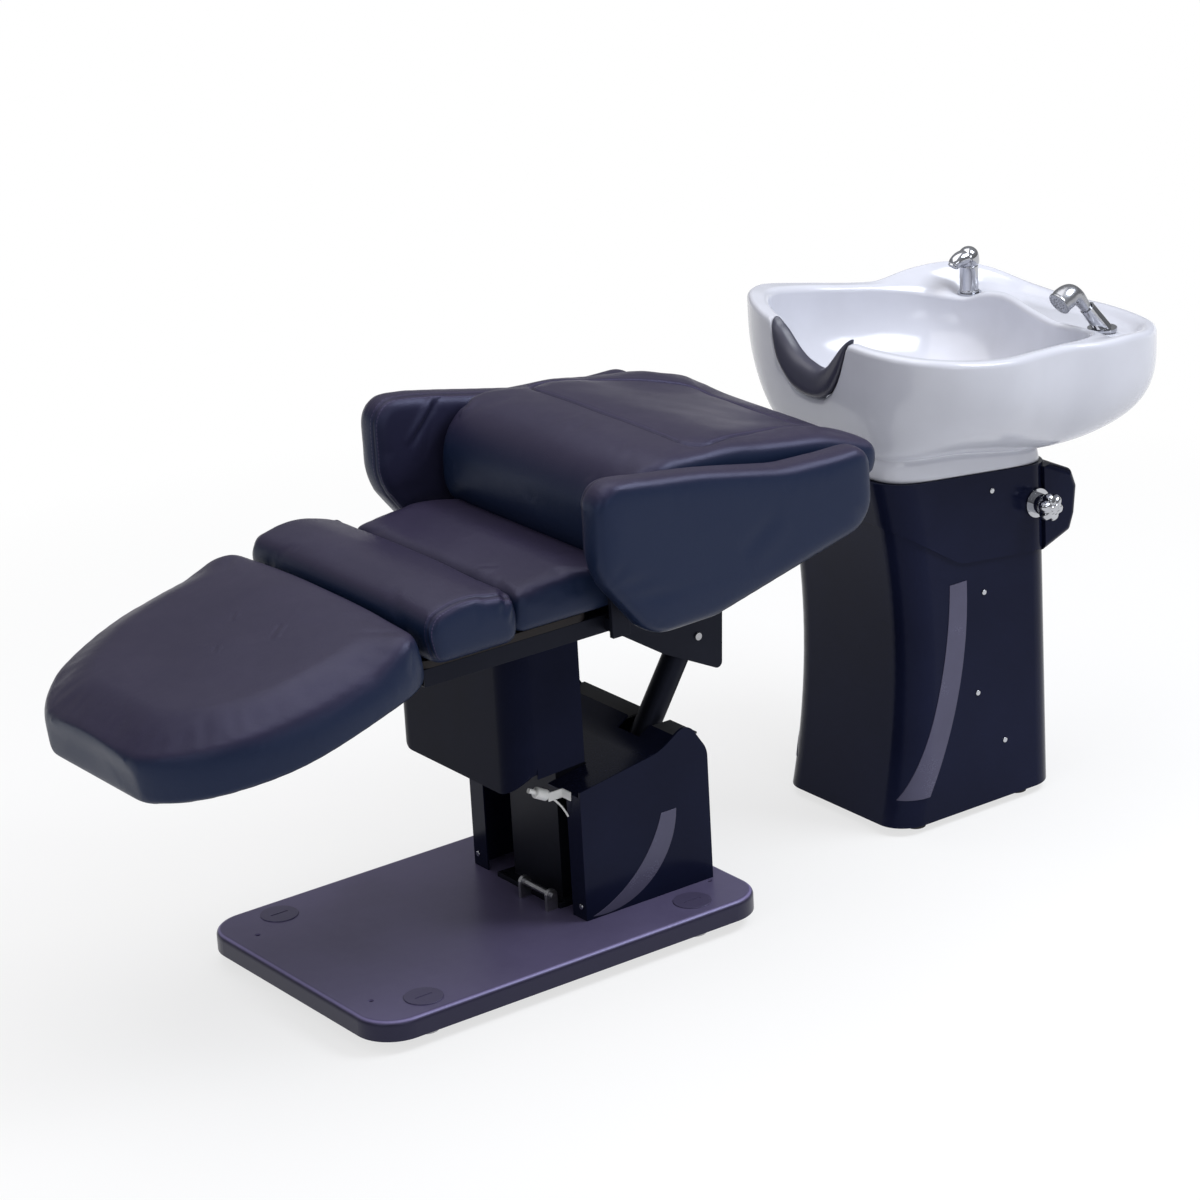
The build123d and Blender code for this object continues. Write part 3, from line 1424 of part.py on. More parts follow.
def basin():
    """Ceramic basin: bowl, deck for the fittings, notch for the neck, hollow foot."""
    body = basin_outside()
    sections = [bowl_section(bowl_depth * level, size) for level,
                size in zip(bowl_level_shares, bowl_size_shares)]
    body = body - loft([bowl_section(-overrun, bowl_size_shares[0])] + sections)
    deck = [(deck_front - basin_front, -deck_half_width), (deck_front - basin_front, deck_half_width),
            (deck_back - basin_front, deck_back_half_width), (deck_back - basin_front,
                                                              -deck_back_half_width)]
    body = body - extrude(basin_plane(deck_depth) * outline(deck,
                                                            [deck_front_radius, deck_front_radius,
                                                             deck_radius, deck_radius]), deck_depth + overrun)
    hollow = RectangleRounded(basin_foot_back - basin_foot_front - 2 * hollow_margin,
                              2 * (basin_foot_half_width
                                   - hollow_margin), basin_foot_radius - hollow_margin)
    middle = (basin_foot_front + basin_foot_back) / 2 - basin_front
    body = body - extrude(basin_plane(basin_depth + overrun) * Pos(middle, 0, 0) * hollow,
                          basin_depth - hollow_roof + overrun)
    body = body - neck_notch(0, basin_front - notch_radius, basin_front + notch_reach,
                             basin_front_height + notch_drop)
    return body - drain_bore(drain_radius)


def drain_bore(radius):
    """Upright bore through the bowl's bottom, as a cutting body."""
    return rod((drain_x, 0, pedestal_low), (drain_x, 0, basin_front_height), radius)


def neck_rest():
    """Soft lining of the neck notch."""
    front = basin_front - rest_overhang
    high = basin_front_height - rest_overhang
    lining = neck_notch(0, front, front + rest_reach, high) - neck_notch(rest_thickness, front - overrun,
                                                                         front + rest_reach + overrun, high + overrun)
    return lining


bowl_floor = rim_height(drain_x, bowl_depth)


def drain_strainer():
    """Strainer plate over the drain with its ring of holes."""
    plate = rod((drain_x, 0, bowl_floor), (drain_x, 0, bowl_floor + strainer_thickness),
                drain_radius - side_clearance)
    holes = [Pos(drain_x, 0, 0) * place * rod((0, 0, bowl_floor - overrun),
                                              (0, 0, bowl_floor + drain_radius),
                                              strainer_hole_radius)
             for place in PolarLocations(strainer_ring_radius, strainer_holes)]
    for hole in holes:
        plate = plate - hole
    collar = rod((drain_x, 0, rim_height(drain_x, hollow_roof) - strainer_thickness),
                 (drain_x, 0, bowl_floor),
                 drain_radius)
    return plate + collar - rod((drain_x, 0, pedestal_low), (drain_x, 0, bowl_floor), tail_radius)


def tail_pipe():
    """Waste pipe from the strainer down to the pedestal's floor."""
    high = bowl_floor - side_clearance
    pipe = rod((drain_x, 0, tail_low), (drain_x, 0, high), tail_radius)
    return pipe - rod((drain_x, 0, tail_low - overrun), (drain_x, 0, high + overrun),
                      tail_radius - tail_wall)


# Fittings

spout_seat = rim_height(spout_x, deck_depth)
shower_seat = rim_height(shower_x, deck_depth)


def under_deck():
    """What lies under the deck's floor, as a cutting body."""
    plan = Pos(basin_back - basin_front, 0, 0) * Rectangle(2 * basin_back, 2 * basin_back)
    return extrude(basin_plane(deck_depth) * plan, -basin_depth)


def spout_base():
    """Flange of the spout on the deck."""
    low = spout_seat - spout_base_height
    return rod((spout_x, spout_y, low), (spout_x, spout_y, spout_seat + spout_base_height),
               spout_base_radius) - under_deck()


def spout():
    """Swivelling spout: pipe, domed head and a short nozzle towards the bowl."""
    low = spout_seat + spout_base_height
    high = low + spout_pipe_height
    pipe = rod((spout_x, spout_y, low), (spout_x, spout_y, high), spout_pipe_radius)
    head = rod((spout_x, spout_y, high), (spout_x, spout_y, high + spout_head_height), spout_head_radius)
    head = fillet(head.faces().sort_by(Axis.Z)[-1].edges(), spout_head_round)
    start = (spout_x, spout_y, high + spout_head_height / 2)
    end = (spout_x - spout_nozzle_length, spout_y, high + spout_head_height / 2 - spout_nozzle_drop)
    return pipe + head + rod(start, end, spout_nozzle_radius)


shower_place = (Pos(shower_x, shower_y, shower_seat + shower_base_height)
                * Rot(0, 0, shower_heading) * Rot(0, shower_lean, 0))


def shower_holder():
    """Ring flange and leaning sleeve that hold the hand shower."""
    base = rod((shower_x, shower_y, shower_seat - shower_base_height), (shower_x, shower_y, shower_seat
                                                                       + shower_base_height), shower_base_radius)
    sleeve = shower_place * cone((0, 0, -shower_base_height), (0, 0, shower_sleeve_length),
                                 shower_sleeve_radius,
                                 shower_sleeve_top_radius)
    bore = shower_place * rod((0, 0, shower_sleeve_length - shower_stem_inside),
                              (0, 0, shower_sleeve_length + overrun),
                              shower_sleeve_bore)
    return base + sleeve - bore - under_deck()


def hand_shower():
    """Hand shower: stem in the sleeve, head and spray face."""
    low = shower_sleeve_length - shower_stem_inside + side_clearance
    stem = rod((0, 0, low), (0, 0, shower_sleeve_length + shower_stem_length - shower_stem_inside),
               shower_stem_radius)
    top = (0, 0, shower_sleeve_length + shower_stem_length - shower_stem_inside)
    slant = radians(half_angle)
    tip = (shower_head_length * cos(slant), 0, top[2] + shower_head_length * sin(slant) / 2)
    head = cone((0, 0, top[2] - shower_head_radius), tip, shower_stem_radius, shower_head_radius)
    face_end = (tip[0] + shower_face_length * sin(slant), 0, tip[2] - shower_face_length * cos(slant))
    face = cone(tip, face_end, shower_head_radius, shower_face_radius)
    return shower_place * (stem + head + face)


mixer_seat = -pedestal_half_width - collar_thickness


def mixer_flange():
    """Flange and body of the mixer on the pedestal's near face."""
    flange = rod((mixer_x, mixer_seat, mixer_level),
                 (mixer_x, mixer_seat - mixer_flange_thickness, mixer_level),
                 mixer_flange_radius)
    return flange + rod((mixer_x, mixer_seat, mixer_level),
                        (mixer_x, mixer_seat - mixer_body_length, mixer_level),
                        mixer_body_radius)


def mixer_handle():
    """Fluted knob of the mixer with a short lever."""
    low = mixer_seat - mixer_body_length
    knob = rod((mixer_x, low, mixer_level), (mixer_x, low - mixer_knob_length, mixer_level),
               mixer_knob_radius)
    for index in range(mixer_knob_flutes):
        turn = radians(half_turn * 2 * index / mixer_knob_flutes)
        x = mixer_x + mixer_knob_radius * cos(turn)
        z = mixer_level + mixer_knob_radius * sin(turn)
        knob = knob - rod((x, low + overrun, z), (x, low - mixer_knob_length - overrun, z),
                          mixer_flute_radius)
    middle = low - mixer_knob_length / 2
    lever = rod((mixer_x, middle, mixer_level), (mixer_x, middle,
                                                 mixer_level + mixer_knob_radius + mixer_lever_length),
                mixer_lever_radius)
    return knob + lever


def supply_pipes():
    """Hot and cold pipes from the pedestal's floor up to the mixer's level."""
    pipes = []
    for side in (-1, 1):
        y = side * pipe_spacing / 2 - pipe_spacing
        pipes.append(rod((mixer_x, y, pipe_low), (mixer_x, y, mixer_level), pipe_radius))
    return joined(pipes)


def build():
    """Makes every piece, in the order of the object from the floor up."""
    arm = arm_near()
    cheek = box_cheek()
    parts["base_cover"] = base_cover()
    parts["base_slab"] = base_slab()
    parts["foot_caps"] = foot_caps()
    parts["levelling_feet"] = levelling_feet()
    parts["mast"] = mast()
    parts["mast_glides"] = mast_glides()
    parts["lift_screw"] = lift_screw()
    parts["lift_motor"] = lift_motor()
    parts["box_cheek_near"] = cheek
    parts["box_cheek_far"] = mirror(cheek, about=Plane.XZ)
    parts["box_top"] = box_top()
    parts["box_back"] = box_back_sheet()
    parts["box_seal"] = box_seal()
    parts["box_trim"] = box_trim()
    parts["box_screws"] = box_screws()
    parts["cross_shaft"] = cross_shaft()
    parts["strut_foot_ears"] = strut_foot_ears()
    parts["strut_foot_pin"] = strut_foot_pin()
    parts["plug_and_lead"] = plug_and_lead()
    parts["column"] = column()
    parts["screw_nut"] = screw_nut()
    parts["seat_frame"] = seat_frame()
    parts["seat_board"] = seat_board()
    parts["seat_roll"] = seat_roll()
    parts["seat_cushion"] = seat_cushion()
    parts["skirt"] = skirt()
    parts["seat_hinge_plates"] = seat_hinge_plates()
    parts["back_hinge_pins"] = back_hinge_pins()
    parts["leg_hinge_pins"] = leg_hinge_pins()
    parts["leg_cushion"] = leg_cushion()
    parts["leg_board"] = leg_board()
    parts["leg_link_lug"] = leg_link_lug()
    parts["back_cushion"] = back_cushion()
    parts["back_board"] = back_board()
    parts["back_frame"] = back_frame()
    parts["arm_near"] = arm
    parts["arm_far"] = mirror(arm, about=Plane.XZ)
    parts["levers"] = levers()
    parts["lever_pin"] = lever_pin()
    parts["link_rod"] = link_rod()
    parts["strut_rod"] = strut_rod()
    parts["strut_tube"] = strut_tube()
    parts["pedestal_feet"] = pedestal_feet()
    parts["pedestal_floor"] = pedestal_floor()
    parts["pedestal_shell"] = pedestal_shell()
    parts["pedestal_collar"] = pedestal_collar()
    parts["pedestal_top"] = pedestal_top()
    parts["pedestal_trim"] = pedestal_trim()
    parts["pedestal_screws"] = pedestal_screws()
    parts["basin"] = basin()
    parts["neck_rest"] = neck_rest()
    parts["drain_strainer"] = drain_strainer()
    parts["tail_pipe"] = tail_pipe()
    parts["supply_pipes"] = supply_pipes()
    parts["spout_base"] = spout_base()
    parts["spout"] = spout()
    parts["shower_holder"] = shower_holder()
    parts["hand_shower"] = hand_shower()
    parts["mixer_flange"] = mixer_flange()
    parts["mixer_handle"] = mixer_handle()


build()
boxes = [shape.bounding_box() for shape in parts.values()]
shift = -(min(box.min.X for box in boxes) + max(box.max.X for box in boxes)) / 2
print("shift along X", shift)
os.makedirs("parts", exist_ok=True)
for name, shape in parts.items():
    export_step(Pos(shift, 0, 0) * shape, "parts/" + name + ".step")
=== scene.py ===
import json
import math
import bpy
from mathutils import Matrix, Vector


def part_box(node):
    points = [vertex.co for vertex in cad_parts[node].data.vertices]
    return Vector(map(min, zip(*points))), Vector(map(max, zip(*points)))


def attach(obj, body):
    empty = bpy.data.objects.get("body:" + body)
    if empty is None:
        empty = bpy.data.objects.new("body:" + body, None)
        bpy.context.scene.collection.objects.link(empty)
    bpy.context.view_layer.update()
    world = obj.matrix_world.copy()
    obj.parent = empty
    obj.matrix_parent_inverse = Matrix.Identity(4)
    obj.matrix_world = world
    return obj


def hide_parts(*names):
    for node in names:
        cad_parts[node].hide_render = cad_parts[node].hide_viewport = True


bl_info = {
    "name": "Hair Washing Bed",
    "version": (1, 0, 0),
    "blender": (4, 5, 0),
    "location": "View3D > Sidebar > Washing Bed",
    "description": "Cushions, basin, fittings and finishes of an electric hair washing bed",
    "category": "Add Mesh",
}

import bmesh
import bpy
import numpy as np
from mathutils import Matrix, Vector

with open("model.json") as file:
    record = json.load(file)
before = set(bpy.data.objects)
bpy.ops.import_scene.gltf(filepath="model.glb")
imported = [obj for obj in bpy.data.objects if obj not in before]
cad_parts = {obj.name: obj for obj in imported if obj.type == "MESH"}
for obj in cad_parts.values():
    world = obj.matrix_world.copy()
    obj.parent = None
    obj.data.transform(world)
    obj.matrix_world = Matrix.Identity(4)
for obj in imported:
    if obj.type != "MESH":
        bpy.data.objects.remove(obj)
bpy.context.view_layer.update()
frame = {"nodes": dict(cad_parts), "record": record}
nodes = frame["nodes"]

# Places are given in millimetres along the floor plate, as in the part's source: X from the plate's
# foot end, Y from the middle, Z from the floor. The plate's own foot end says where X is zero.
MM = 0.001
FOOT_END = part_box("base_cover")[0].x


def at(points):
    """Places in millimetres on the floor plate, as metres in the frame."""
    placed = np.array(points, float) * MM
    placed[..., 0] += FOOT_END
    return placed


# Sizes and colours that a user would change

class BedCushionSettings(bpy.types.PropertyGroup):
    voxel: bpy.props.FloatProperty(
        name="Voxel", description="Mesh width of the padded pieces", default=0.006, min=0.003,
        unit="LENGTH")
    inset: bpy.props.FloatProperty(
        name="Inset", description="How far a pad starts inside its solid", default=0.005, unit="LENGTH")
    swell: bpy.props.FloatProperty(
        name="Swell", description="The most that the filling pushes the cover out", default=0.0058,
        unit="LENGTH")
    pressure: bpy.props.FloatProperty(
        name="Pressure", description="Pressure of the filling", default=8.0)
    cloth_share: bpy.props.FloatProperty(
        name="Cloth share",
        description="Share of a pad's shape that the blown-up cloth gives, the rest is foam",
        default=0.42, min=0.0, max=1.0)
    channel_depth: bpy.props.FloatProperty(
        name="Channel depth", description="Depth of the sewn channel round the back's panel",
        default=0.0052, unit="LENGTH")
    channel_width: bpy.props.FloatProperty(
        name="Channel width", description="Half width of a sewn channel", default=0.0042, unit="LENGTH")
    ripple: bpy.props.FloatProperty(
        name="Ripple", description="Height of the slow unevenness of the padding", default=0.0007,
        unit="LENGTH")


class BedBasinSettings(bpy.types.PropertyGroup):
    columns: bpy.props.IntProperty(
        name="Columns", description="Mesh columns round the basin", default=400, min=60)
    edge_round: bpy.props.FloatProperty(
        name="Edge", description="Rounding of the rim and the bowl's lip, in millimetres", default=11.0)
    dish: bpy.props.FloatProperty(
        name="Dish", description="Depth of the deck behind the bowl, in millimetres", default=15.0)


class BedColourSettings(bpy.types.PropertyGroup):
    leather: bpy.props.FloatVectorProperty(
        name="Leather", description="Cushion covers", subtype="COLOR", default=(0.0255, 0.0208, 0.0445))
    leather_side: bpy.props.FloatVectorProperty(
        name="Leather, upright faces",
        description="Cushion covers where they stand upright and see less light",
        subtype="COLOR", default=(0.0070, 0.0135, 0.0360))
    lacquer: bpy.props.FloatVectorProperty(
        name="Lacquer", description="Gloss covers of the column and the pedestal", subtype="COLOR",
        default=(0.0054, 0.0068, 0.0190))
    plate: bpy.props.FloatVectorProperty(
        name="Floor plate", description="Satin cover of the floor plate", subtype="COLOR",
        default=(0.096, 0.083, 0.156))
    trim: bpy.props.FloatVectorProperty(
        name="Trim", description="Curved bands", subtype="COLOR", default=(0.064, 0.060, 0.098))
    ceramic: bpy.props.FloatVectorProperty(
        name="Ceramic", description="Glazed basin", subtype="COLOR", default=(0.540, 0.548, 0.606))
    chrome: bpy.props.FloatVectorProperty(
        name="Chrome", description="Plated fittings", subtype="COLOR", default=(0.50, 0.51, 0.545))


class BedStageSettings(bpy.types.PropertyGroup):
    camera_place: bpy.props.FloatVectorProperty(
        name="Camera place", description="Where the camera stands", subtype="TRANSLATION",
        default=(-3.648348, -5.076417, 2.778983))
    azimuth: bpy.props.FloatProperty(
        name="Azimuth", description="Way the camera looks, about the vertical", subtype="ANGLE",
        default=math.radians(-35.18746))
    elevation: bpy.props.FloatProperty(
        name="Elevation", description="Height of the camera over the horizon", subtype="ANGLE",
        default=math.radians(20.21028))
    roll: bpy.props.FloatProperty(
        name="Roll", description="Tilt of the picture", subtype="ANGLE", default=math.radians(-3.2594))
    lens: bpy.props.FloatProperty(
        name="Lens", description="Focal length in millimetres on a 36 mm sensor", default=129.3107)
    floor_size: bpy.props.FloatProperty(
        name="Floor", description="Side of the floor", default=60.0, unit="LENGTH")


# Mesh helpers

def new_object(name, mesh):
    """Links a mesh to the scene as an object at the origin."""
    obj = bpy.data.objects.new(name, mesh)
    bpy.context.scene.collection.objects.link(obj)
    return obj


def surface(name, rows, closed_rows=False, caps=(False, False)):
    """Mesh over a grid of points, rows by columns by 3, with the columns closed into rings.
    Point (i, j) is joined to (i + 1, j) and (i, j + 1); a cap closes the first or last ring with a
    fan about its middle."""
    rows = np.asarray(rows, float)
    count, width = rows.shape[:2]
    points = rows.reshape(-1, 3)
    i = np.arange(count if closed_rows else count - 1)[:, None]
    j = np.arange(width)[None, :]
    step = (i + 1) % count
    side = (j + 1) % width
    quads = np.stack([i * width + j, i * width + side, step * width + side, step * width + j], -1)
    faces = [quads.reshape(-1, 4)]
    ring = np.arange(width)
    for end, wanted in enumerate(caps):
        if not wanted:
            continue
        start = 0 if end == 0 else (count - 1) * width
        middle = len(points)
        points = np.vstack([points, points[start:start + width].mean(0)])
        a, b = start + ring, start + (ring + 1) % width
        fan = np.stack([b, a, np.full(width, middle)], -1) if end == 0 else \
            np.stack([a, b, np.full(width, middle)], -1)
        faces.append(fan)
    mesh = bpy.data.meshes.new(name)
    mesh.from_pydata(points.tolist(), [], [f for group in faces for f in group.tolist()])
    mesh.update()
    bm = bmesh.new()
    bm.from_mesh(mesh)
    bmesh.ops.remove_doubles(bm, verts=bm.verts, dist=1e-6)
    bmesh.ops.recalc_face_normals(bm, faces=bm.faces)
    bm.to_mesh(mesh)
    bm.free()
    mesh.polygons.foreach_set("use_smooth", np.ones(len(mesh.polygons), bool))
    return mesh


def join_meshes(name, meshes):
    """One mesh that holds all the given ones."""
    bm = bmesh.new()
    for mesh in meshes:
        bm.from_mesh(mesh)
        bpy.data.meshes.remove(mesh)
    joined = bpy.data.meshes.new(name)
    bm.to_mesh(joined)
    bm.free()
    return joined


def carried(name, path, radii, sides=48, squash=1.0, caps=(True, True)):
    """A round section carried along a path. The path is a smooth curve through the given points, the
    radius runs smoothly through the given radii, and each ring stands square to the path. squash
    narrows the section across the path's own plane."""
    path = smooth_line(np.array(path, float), 8)
    radii = smooth_line(np.array(radii, float)[:, None], 8)[:, 0]
    along = np.gradient(path, axis=0)
    along /= np.linalg.norm(along, axis=1)[:, None]
    aside = np.cross(along, np.array([0.0, 1.0, 0.0]))
    aside /= np.maximum(np.linalg.norm(aside, axis=1), 1e-9)[:, None]
    third = np.cross(along, aside)
    angle = np.linspace(0, 2 * np.pi, sides, endpoint=False)
    rings = (path[:, None] + radii[:, None, None] * (np.cos(angle)[None, :, None] * aside[:, None]
             + squash * np.sin(angle)[None, :, None] * third[:, None]))
    return surface(name, rings, caps=caps)


def smooth_line(points, steps):
    """Catmull-Rom curve: between two points it is the cubic that leaves and arrives along the line
    joining their neighbours."""
    padded = np.vstack([2 * points[0] - points[1], points, 2 * points[-1] - points[-2]])
    t = np.linspace(0, 1, steps, endpoint=False)[:, None]
    runs = []
    for a, b, c, d in zip(padded, padded[1:], padded[2:], padded[3:]):
        runs.append(0.5 * (2 * b + (c - a) * t + (2 * a - 5 * b + 4 * c - d) * t ** 2
                           + (3 * b - a - 3 * c + d) * t ** 3))
    return np.vstack(runs + [points[-1:]])


def turned(name, profile, origin, axis, sides=64, lobes=0, depth=0.0, from_share=0.0):
    """A profile of (distance along the axis, radius) turned about the axis. With lobes, the radius is
    drawn in by the depth times a cosine that runs lobes times round, on profile points past the
    share."""
    profile = smooth_line(np.array(profile, float), 4)
    axis = np.array(axis, float) / np.linalg.norm(axis)
    first = np.cross(axis, [0.3, 0.2, 0.93])
    first /= np.linalg.norm(first)
    second = np.cross(axis, first)
    angle = np.linspace(0, 2 * np.pi, sides, endpoint=False)
    radius = np.maximum(profile[:, 1:2], 1e-5) * np.ones((1, sides))
    if lobes:
        reach = np.clip((profile[:, 0:1] - from_share) / (0.15 * np.ptp(profile[:, 0])), 0, 1)
        radius = radius * (1 - depth * reach * (0.5 - 0.5 * np.cos(lobes * angle))[None] ** 2)
    rings = (np.array(origin, float) + profile[:, 0, None, None] * axis
             + radius[..., None] * (np.cos(angle)[None, :, None] * first
                                    + np.sin(angle)[None, :, None] * second))
    return surface(name, rings, caps=(True, True))


# Node helpers

def node(tree, kind, feeds=None, **settings):
    """A shader node with its settings and its inputs: a value is set, an output socket is linked."""
    made = tree.nodes.new(kind)
    for key, value in settings.items():
        setattr(made, key, value)
    for key, value in (feeds or {}).items():
        if isinstance(value, bpy.types.NodeSocket):
            tree.links.new(value, made.inputs[key])
        else:
            made.inputs[key].default_value = value
    return made


def maths(tree, operation, a, b=0.0):
    """A Math node's result."""
    return node(tree, "ShaderNodeMath", {0: a, 1: b}, operation=operation).outputs[0]


def ramp(tree, value, low, high, to_low=0.0, to_high=1.0):
    """Value carried from one range to another, held at both ends."""
    return node(tree, "ShaderNodeMapRange", {"Value": value, "From Min": low, "From Max": high,
                                             "To Min": to_low, "To Max": to_high}).outputs["Result"]


def blend(tree, factor, a, b):
    """Mix of two colours."""
    mixed = tree.nodes.new("ShaderNodeMix")
    mixed.data_type = "RGBA"
    for key, value in ((0, factor), (6, a), (7, b)):
        if isinstance(value, bpy.types.NodeSocket):
            tree.links.new(value, mixed.inputs[key])
        else:
            mixed.inputs[key].default_value = value
    return mixed.outputs[2]


def group(name, inputs, outputs):
    """Empty node group with named sockets: (tree, its input node, its output node)."""
    tree = bpy.data.node_groups.new(name, "ShaderNodeTree")
    for socket, kind, value in inputs:
        made = tree.interface.new_socket(socket, in_out="INPUT", socket_type=kind)
        made.default_value = value
    for socket, kind in outputs:
        tree.interface.new_socket(socket, in_out="OUTPUT", socket_type=kind)
    return tree, tree.nodes.new("NodeGroupInput"), tree.nodes.new("NodeGroupOutput")


FLOAT = "NodeSocketFloat"
COLOR = "NodeSocketColor"
WHITE = (1.0, 1.0, 1.0, 1.0)


def object_noise(tree, scale, detail=3.0, roughness=0.5, stretch=(1.0, 1.0, 1.0)):
    """Noise on Object coordinates, stretched by the given shares."""
    place = node(tree, "ShaderNodeTexCoord").outputs["Object"]
    mapped = node(tree, "ShaderNodeMapping", {"Vector": place, "Scale": stretch}).outputs[0]
    return node(tree, "ShaderNodeTexNoise", {"Vector": mapped, "Scale": scale, "Detail": detail,
                                             "Roughness": roughness}).outputs[0]


def leather_grain():
    """Pebbled grain, slow tone patches and rubbed high spots."""
    tree, given, put = group("leather_grain",
                             [("Colour", COLOR, WHITE), ("Worn", COLOR, WHITE),
                              ("Roughness", FLOAT, 0.45)],
                             [("Colour", COLOR), ("Roughness", FLOAT), ("Height", FLOAT)])
    place = node(tree, "ShaderNodeTexCoord").outputs["Object"]
    warp = node(tree, "ShaderNodeTexNoise", {"Vector": place, "Scale": 260.0, "Detail": 2.0})
    shifted = node(tree, "ShaderNodeMix", {0: 0.0035, 4: place, 5: warp.outputs[1]}, data_type="VECTOR")
    cells = node(tree, "ShaderNodeTexVoronoi", {"Vector": shifted.outputs[1], "Scale": 620.0},
                 feature="DISTANCE_TO_EDGE").outputs[0]
    pebble = ramp(tree, cells, 0.0, 0.34)
    patches = object_noise(tree, 7.0, 3.0)
    fine = object_noise(tree, 90.0, 4.0, 0.6)
    crease = node(tree, "ShaderNodeTexNoise", {"Vector": place, "Scale": 22.0, "Detail": 3.0,
                                               "Distortion": 1.4}).outputs[0]
    lines = ramp(tree, maths(tree, "ABSOLUTE", maths(tree, "SUBTRACT", crease, 0.5)), 0.0, 0.022)
    tone = ramp(tree, patches, 0.35, 0.68, 0.0, 0.55)
    rub = maths(tree, "MULTIPLY", tone, ramp(tree, fine, 0.3, 0.7, 0.55, 1.0))
    tree.links.new(blend(tree, rub, given.outputs["Colour"], given.outputs["Worn"]), put.inputs["Colour"])
    swing = ramp(tree, patches, 0.3, 0.7, 0.05, -0.05)
    tree.links.new(maths(tree, "ADD", given.outputs["Roughness"], swing), put.inputs["Roughness"])
    height = maths(tree, "ADD", maths(tree, "MULTIPLY", pebble, 0.5), maths(tree, "MULTIPLY", fine, 0.6))
    height = maths(tree, "ADD", height, maths(tree, "MULTIPLY", lines, 0.35))
    tree.links.new(height, put.inputs["Height"])
    return tree


def stitch_line():
    """Thread and valley of a seam: the distance from the seam and the way along it give short
    threads on both sides and a narrow valley on the line."""
    tree, given, put = group("stitch_line",
                             [("Distance", FLOAT, 1.0), ("Along", FLOAT, 0.0), ("Pitch", FLOAT, 0.006),
                              ("Offset", FLOAT, 0.0052)],
                             [("Thread", FLOAT), ("Valley", FLOAT)])
    distance = maths(tree, "ABSOLUTE", given.outputs["Distance"])
    from_thread = maths(tree, "ABSOLUTE", maths(tree, "SUBTRACT", distance, given.outputs["Offset"]))
    beside = ramp(tree, from_thread, 0.0004, 0.0009, 1.0, 0.0)
    turn = maths(tree, "FRACT", maths(tree, "DIVIDE", given.outputs["Along"], given.outputs["Pitch"]))
    length = ramp(tree, maths(tree, "ABSOLUTE", maths(tree, "SUBTRACT", turn, 0.5)), 0.33, 0.38, 1.0, 0.0)
    tree.links.new(maths(tree, "MULTIPLY", beside, length), put.inputs["Thread"])
    tree.links.new(ramp(tree, distance, 0.0004, 0.0022, 1.0, 0.0), put.inputs["Valley"])
    return tree


def surface_play():
    """Slow tone patches and fine unevenness of a coated or moulded surface."""
    tree, given, put = group("surface_play",
                             [("Colour", COLOR, WHITE), ("Other", COLOR, WHITE),
                              ("Roughness", FLOAT, 0.3), ("Spread", FLOAT, 0.05), ("Size", FLOAT, 6.0),
                              ("Fine size", FLOAT, 300.0)],
                             [("Colour", COLOR), ("Roughness", FLOAT), ("Height", FLOAT)])
    place = node(tree, "ShaderNodeTexCoord").outputs["Object"]
    slow = node(tree, "ShaderNodeTexNoise", {"Vector": place, "Scale": given.outputs["Size"],
                                             "Detail": 3.0}).outputs[0]
    fine = node(tree, "ShaderNodeTexNoise", {"Vector": place, "Scale": given.outputs["Fine size"],
                                             "Detail": 2.0}).outputs[0]
    tree.links.new(blend(tree, ramp(tree, slow, 0.35, 0.65), given.outputs["Colour"],
                         given.outputs["Other"]), put.inputs["Colour"])
    both = maths(tree, "ADD", slow, maths(tree, "MULTIPLY", fine, 0.4))
    swing = maths(tree, "MULTIPLY", given.outputs["Spread"], maths(tree, "SUBTRACT", both, 0.7))
    tree.links.new(maths(tree, "ADD", given.outputs["Roughness"], swing), put.inputs["Roughness"])
    tree.links.new(fine, put.inputs["Height"])
    return tree


def dust_veil():
    """Faint dust on what faces up: the upward part of the normal times broken noise."""
    tree, given, put = group("dust_veil", [("Amount", FLOAT, 0.05)], [("Mask", FLOAT)])
    up = node(tree, "ShaderNodeSeparateXYZ",
              {0: node(tree, "ShaderNodeNewGeometry").outputs["Normal"]}).outputs[2]
    specks = ramp(tree, object_noise(tree, 55.0, 5.0, 0.7), 0.42, 0.75)
    facing = ramp(tree, up, 0.3, 1.0)
    tree.links.new(maths(tree, "MULTIPLY", maths(tree, "MULTIPLY", specks, facing),
                         given.outputs["Amount"]), put.inputs["Mask"])
    return tree


def brushed_lines():
    """Fine parallel lines along one axis, as a height and a change of roughness."""
    tree, given, put = group("brushed_lines", [("Roughness", FLOAT, 0.3)],
                             [("Roughness", FLOAT), ("Height", FLOAT)])
    lines = object_noise(tree, 140.0, 4.0, 0.7, (0.05, 1.0, 6.0))
    swing = ramp(tree, lines, 0.3, 0.7, -0.08, 0.1)
    tree.links.new(maths(tree, "ADD", given.outputs["Roughness"], swing), put.inputs["Roughness"])
    tree.links.new(lines, put.inputs["Height"])
    return tree


def shared_group(maker):
    """The node group that a maker builds, built once."""
    known = bpy.data.node_groups.get(maker.__name__)
    return known or maker()


def use_group(tree, maker, feeds=None):
    """A shared group placed in a material."""
    made = tree.nodes.new("ShaderNodeGroup")
    made.node_tree = shared_group(maker)
    for key, value in (feeds or {}).items():
        if isinstance(value, bpy.types.NodeSocket):
            tree.links.new(value, made.inputs[key])
        else:
            made.inputs[key].default_value = value
    return made


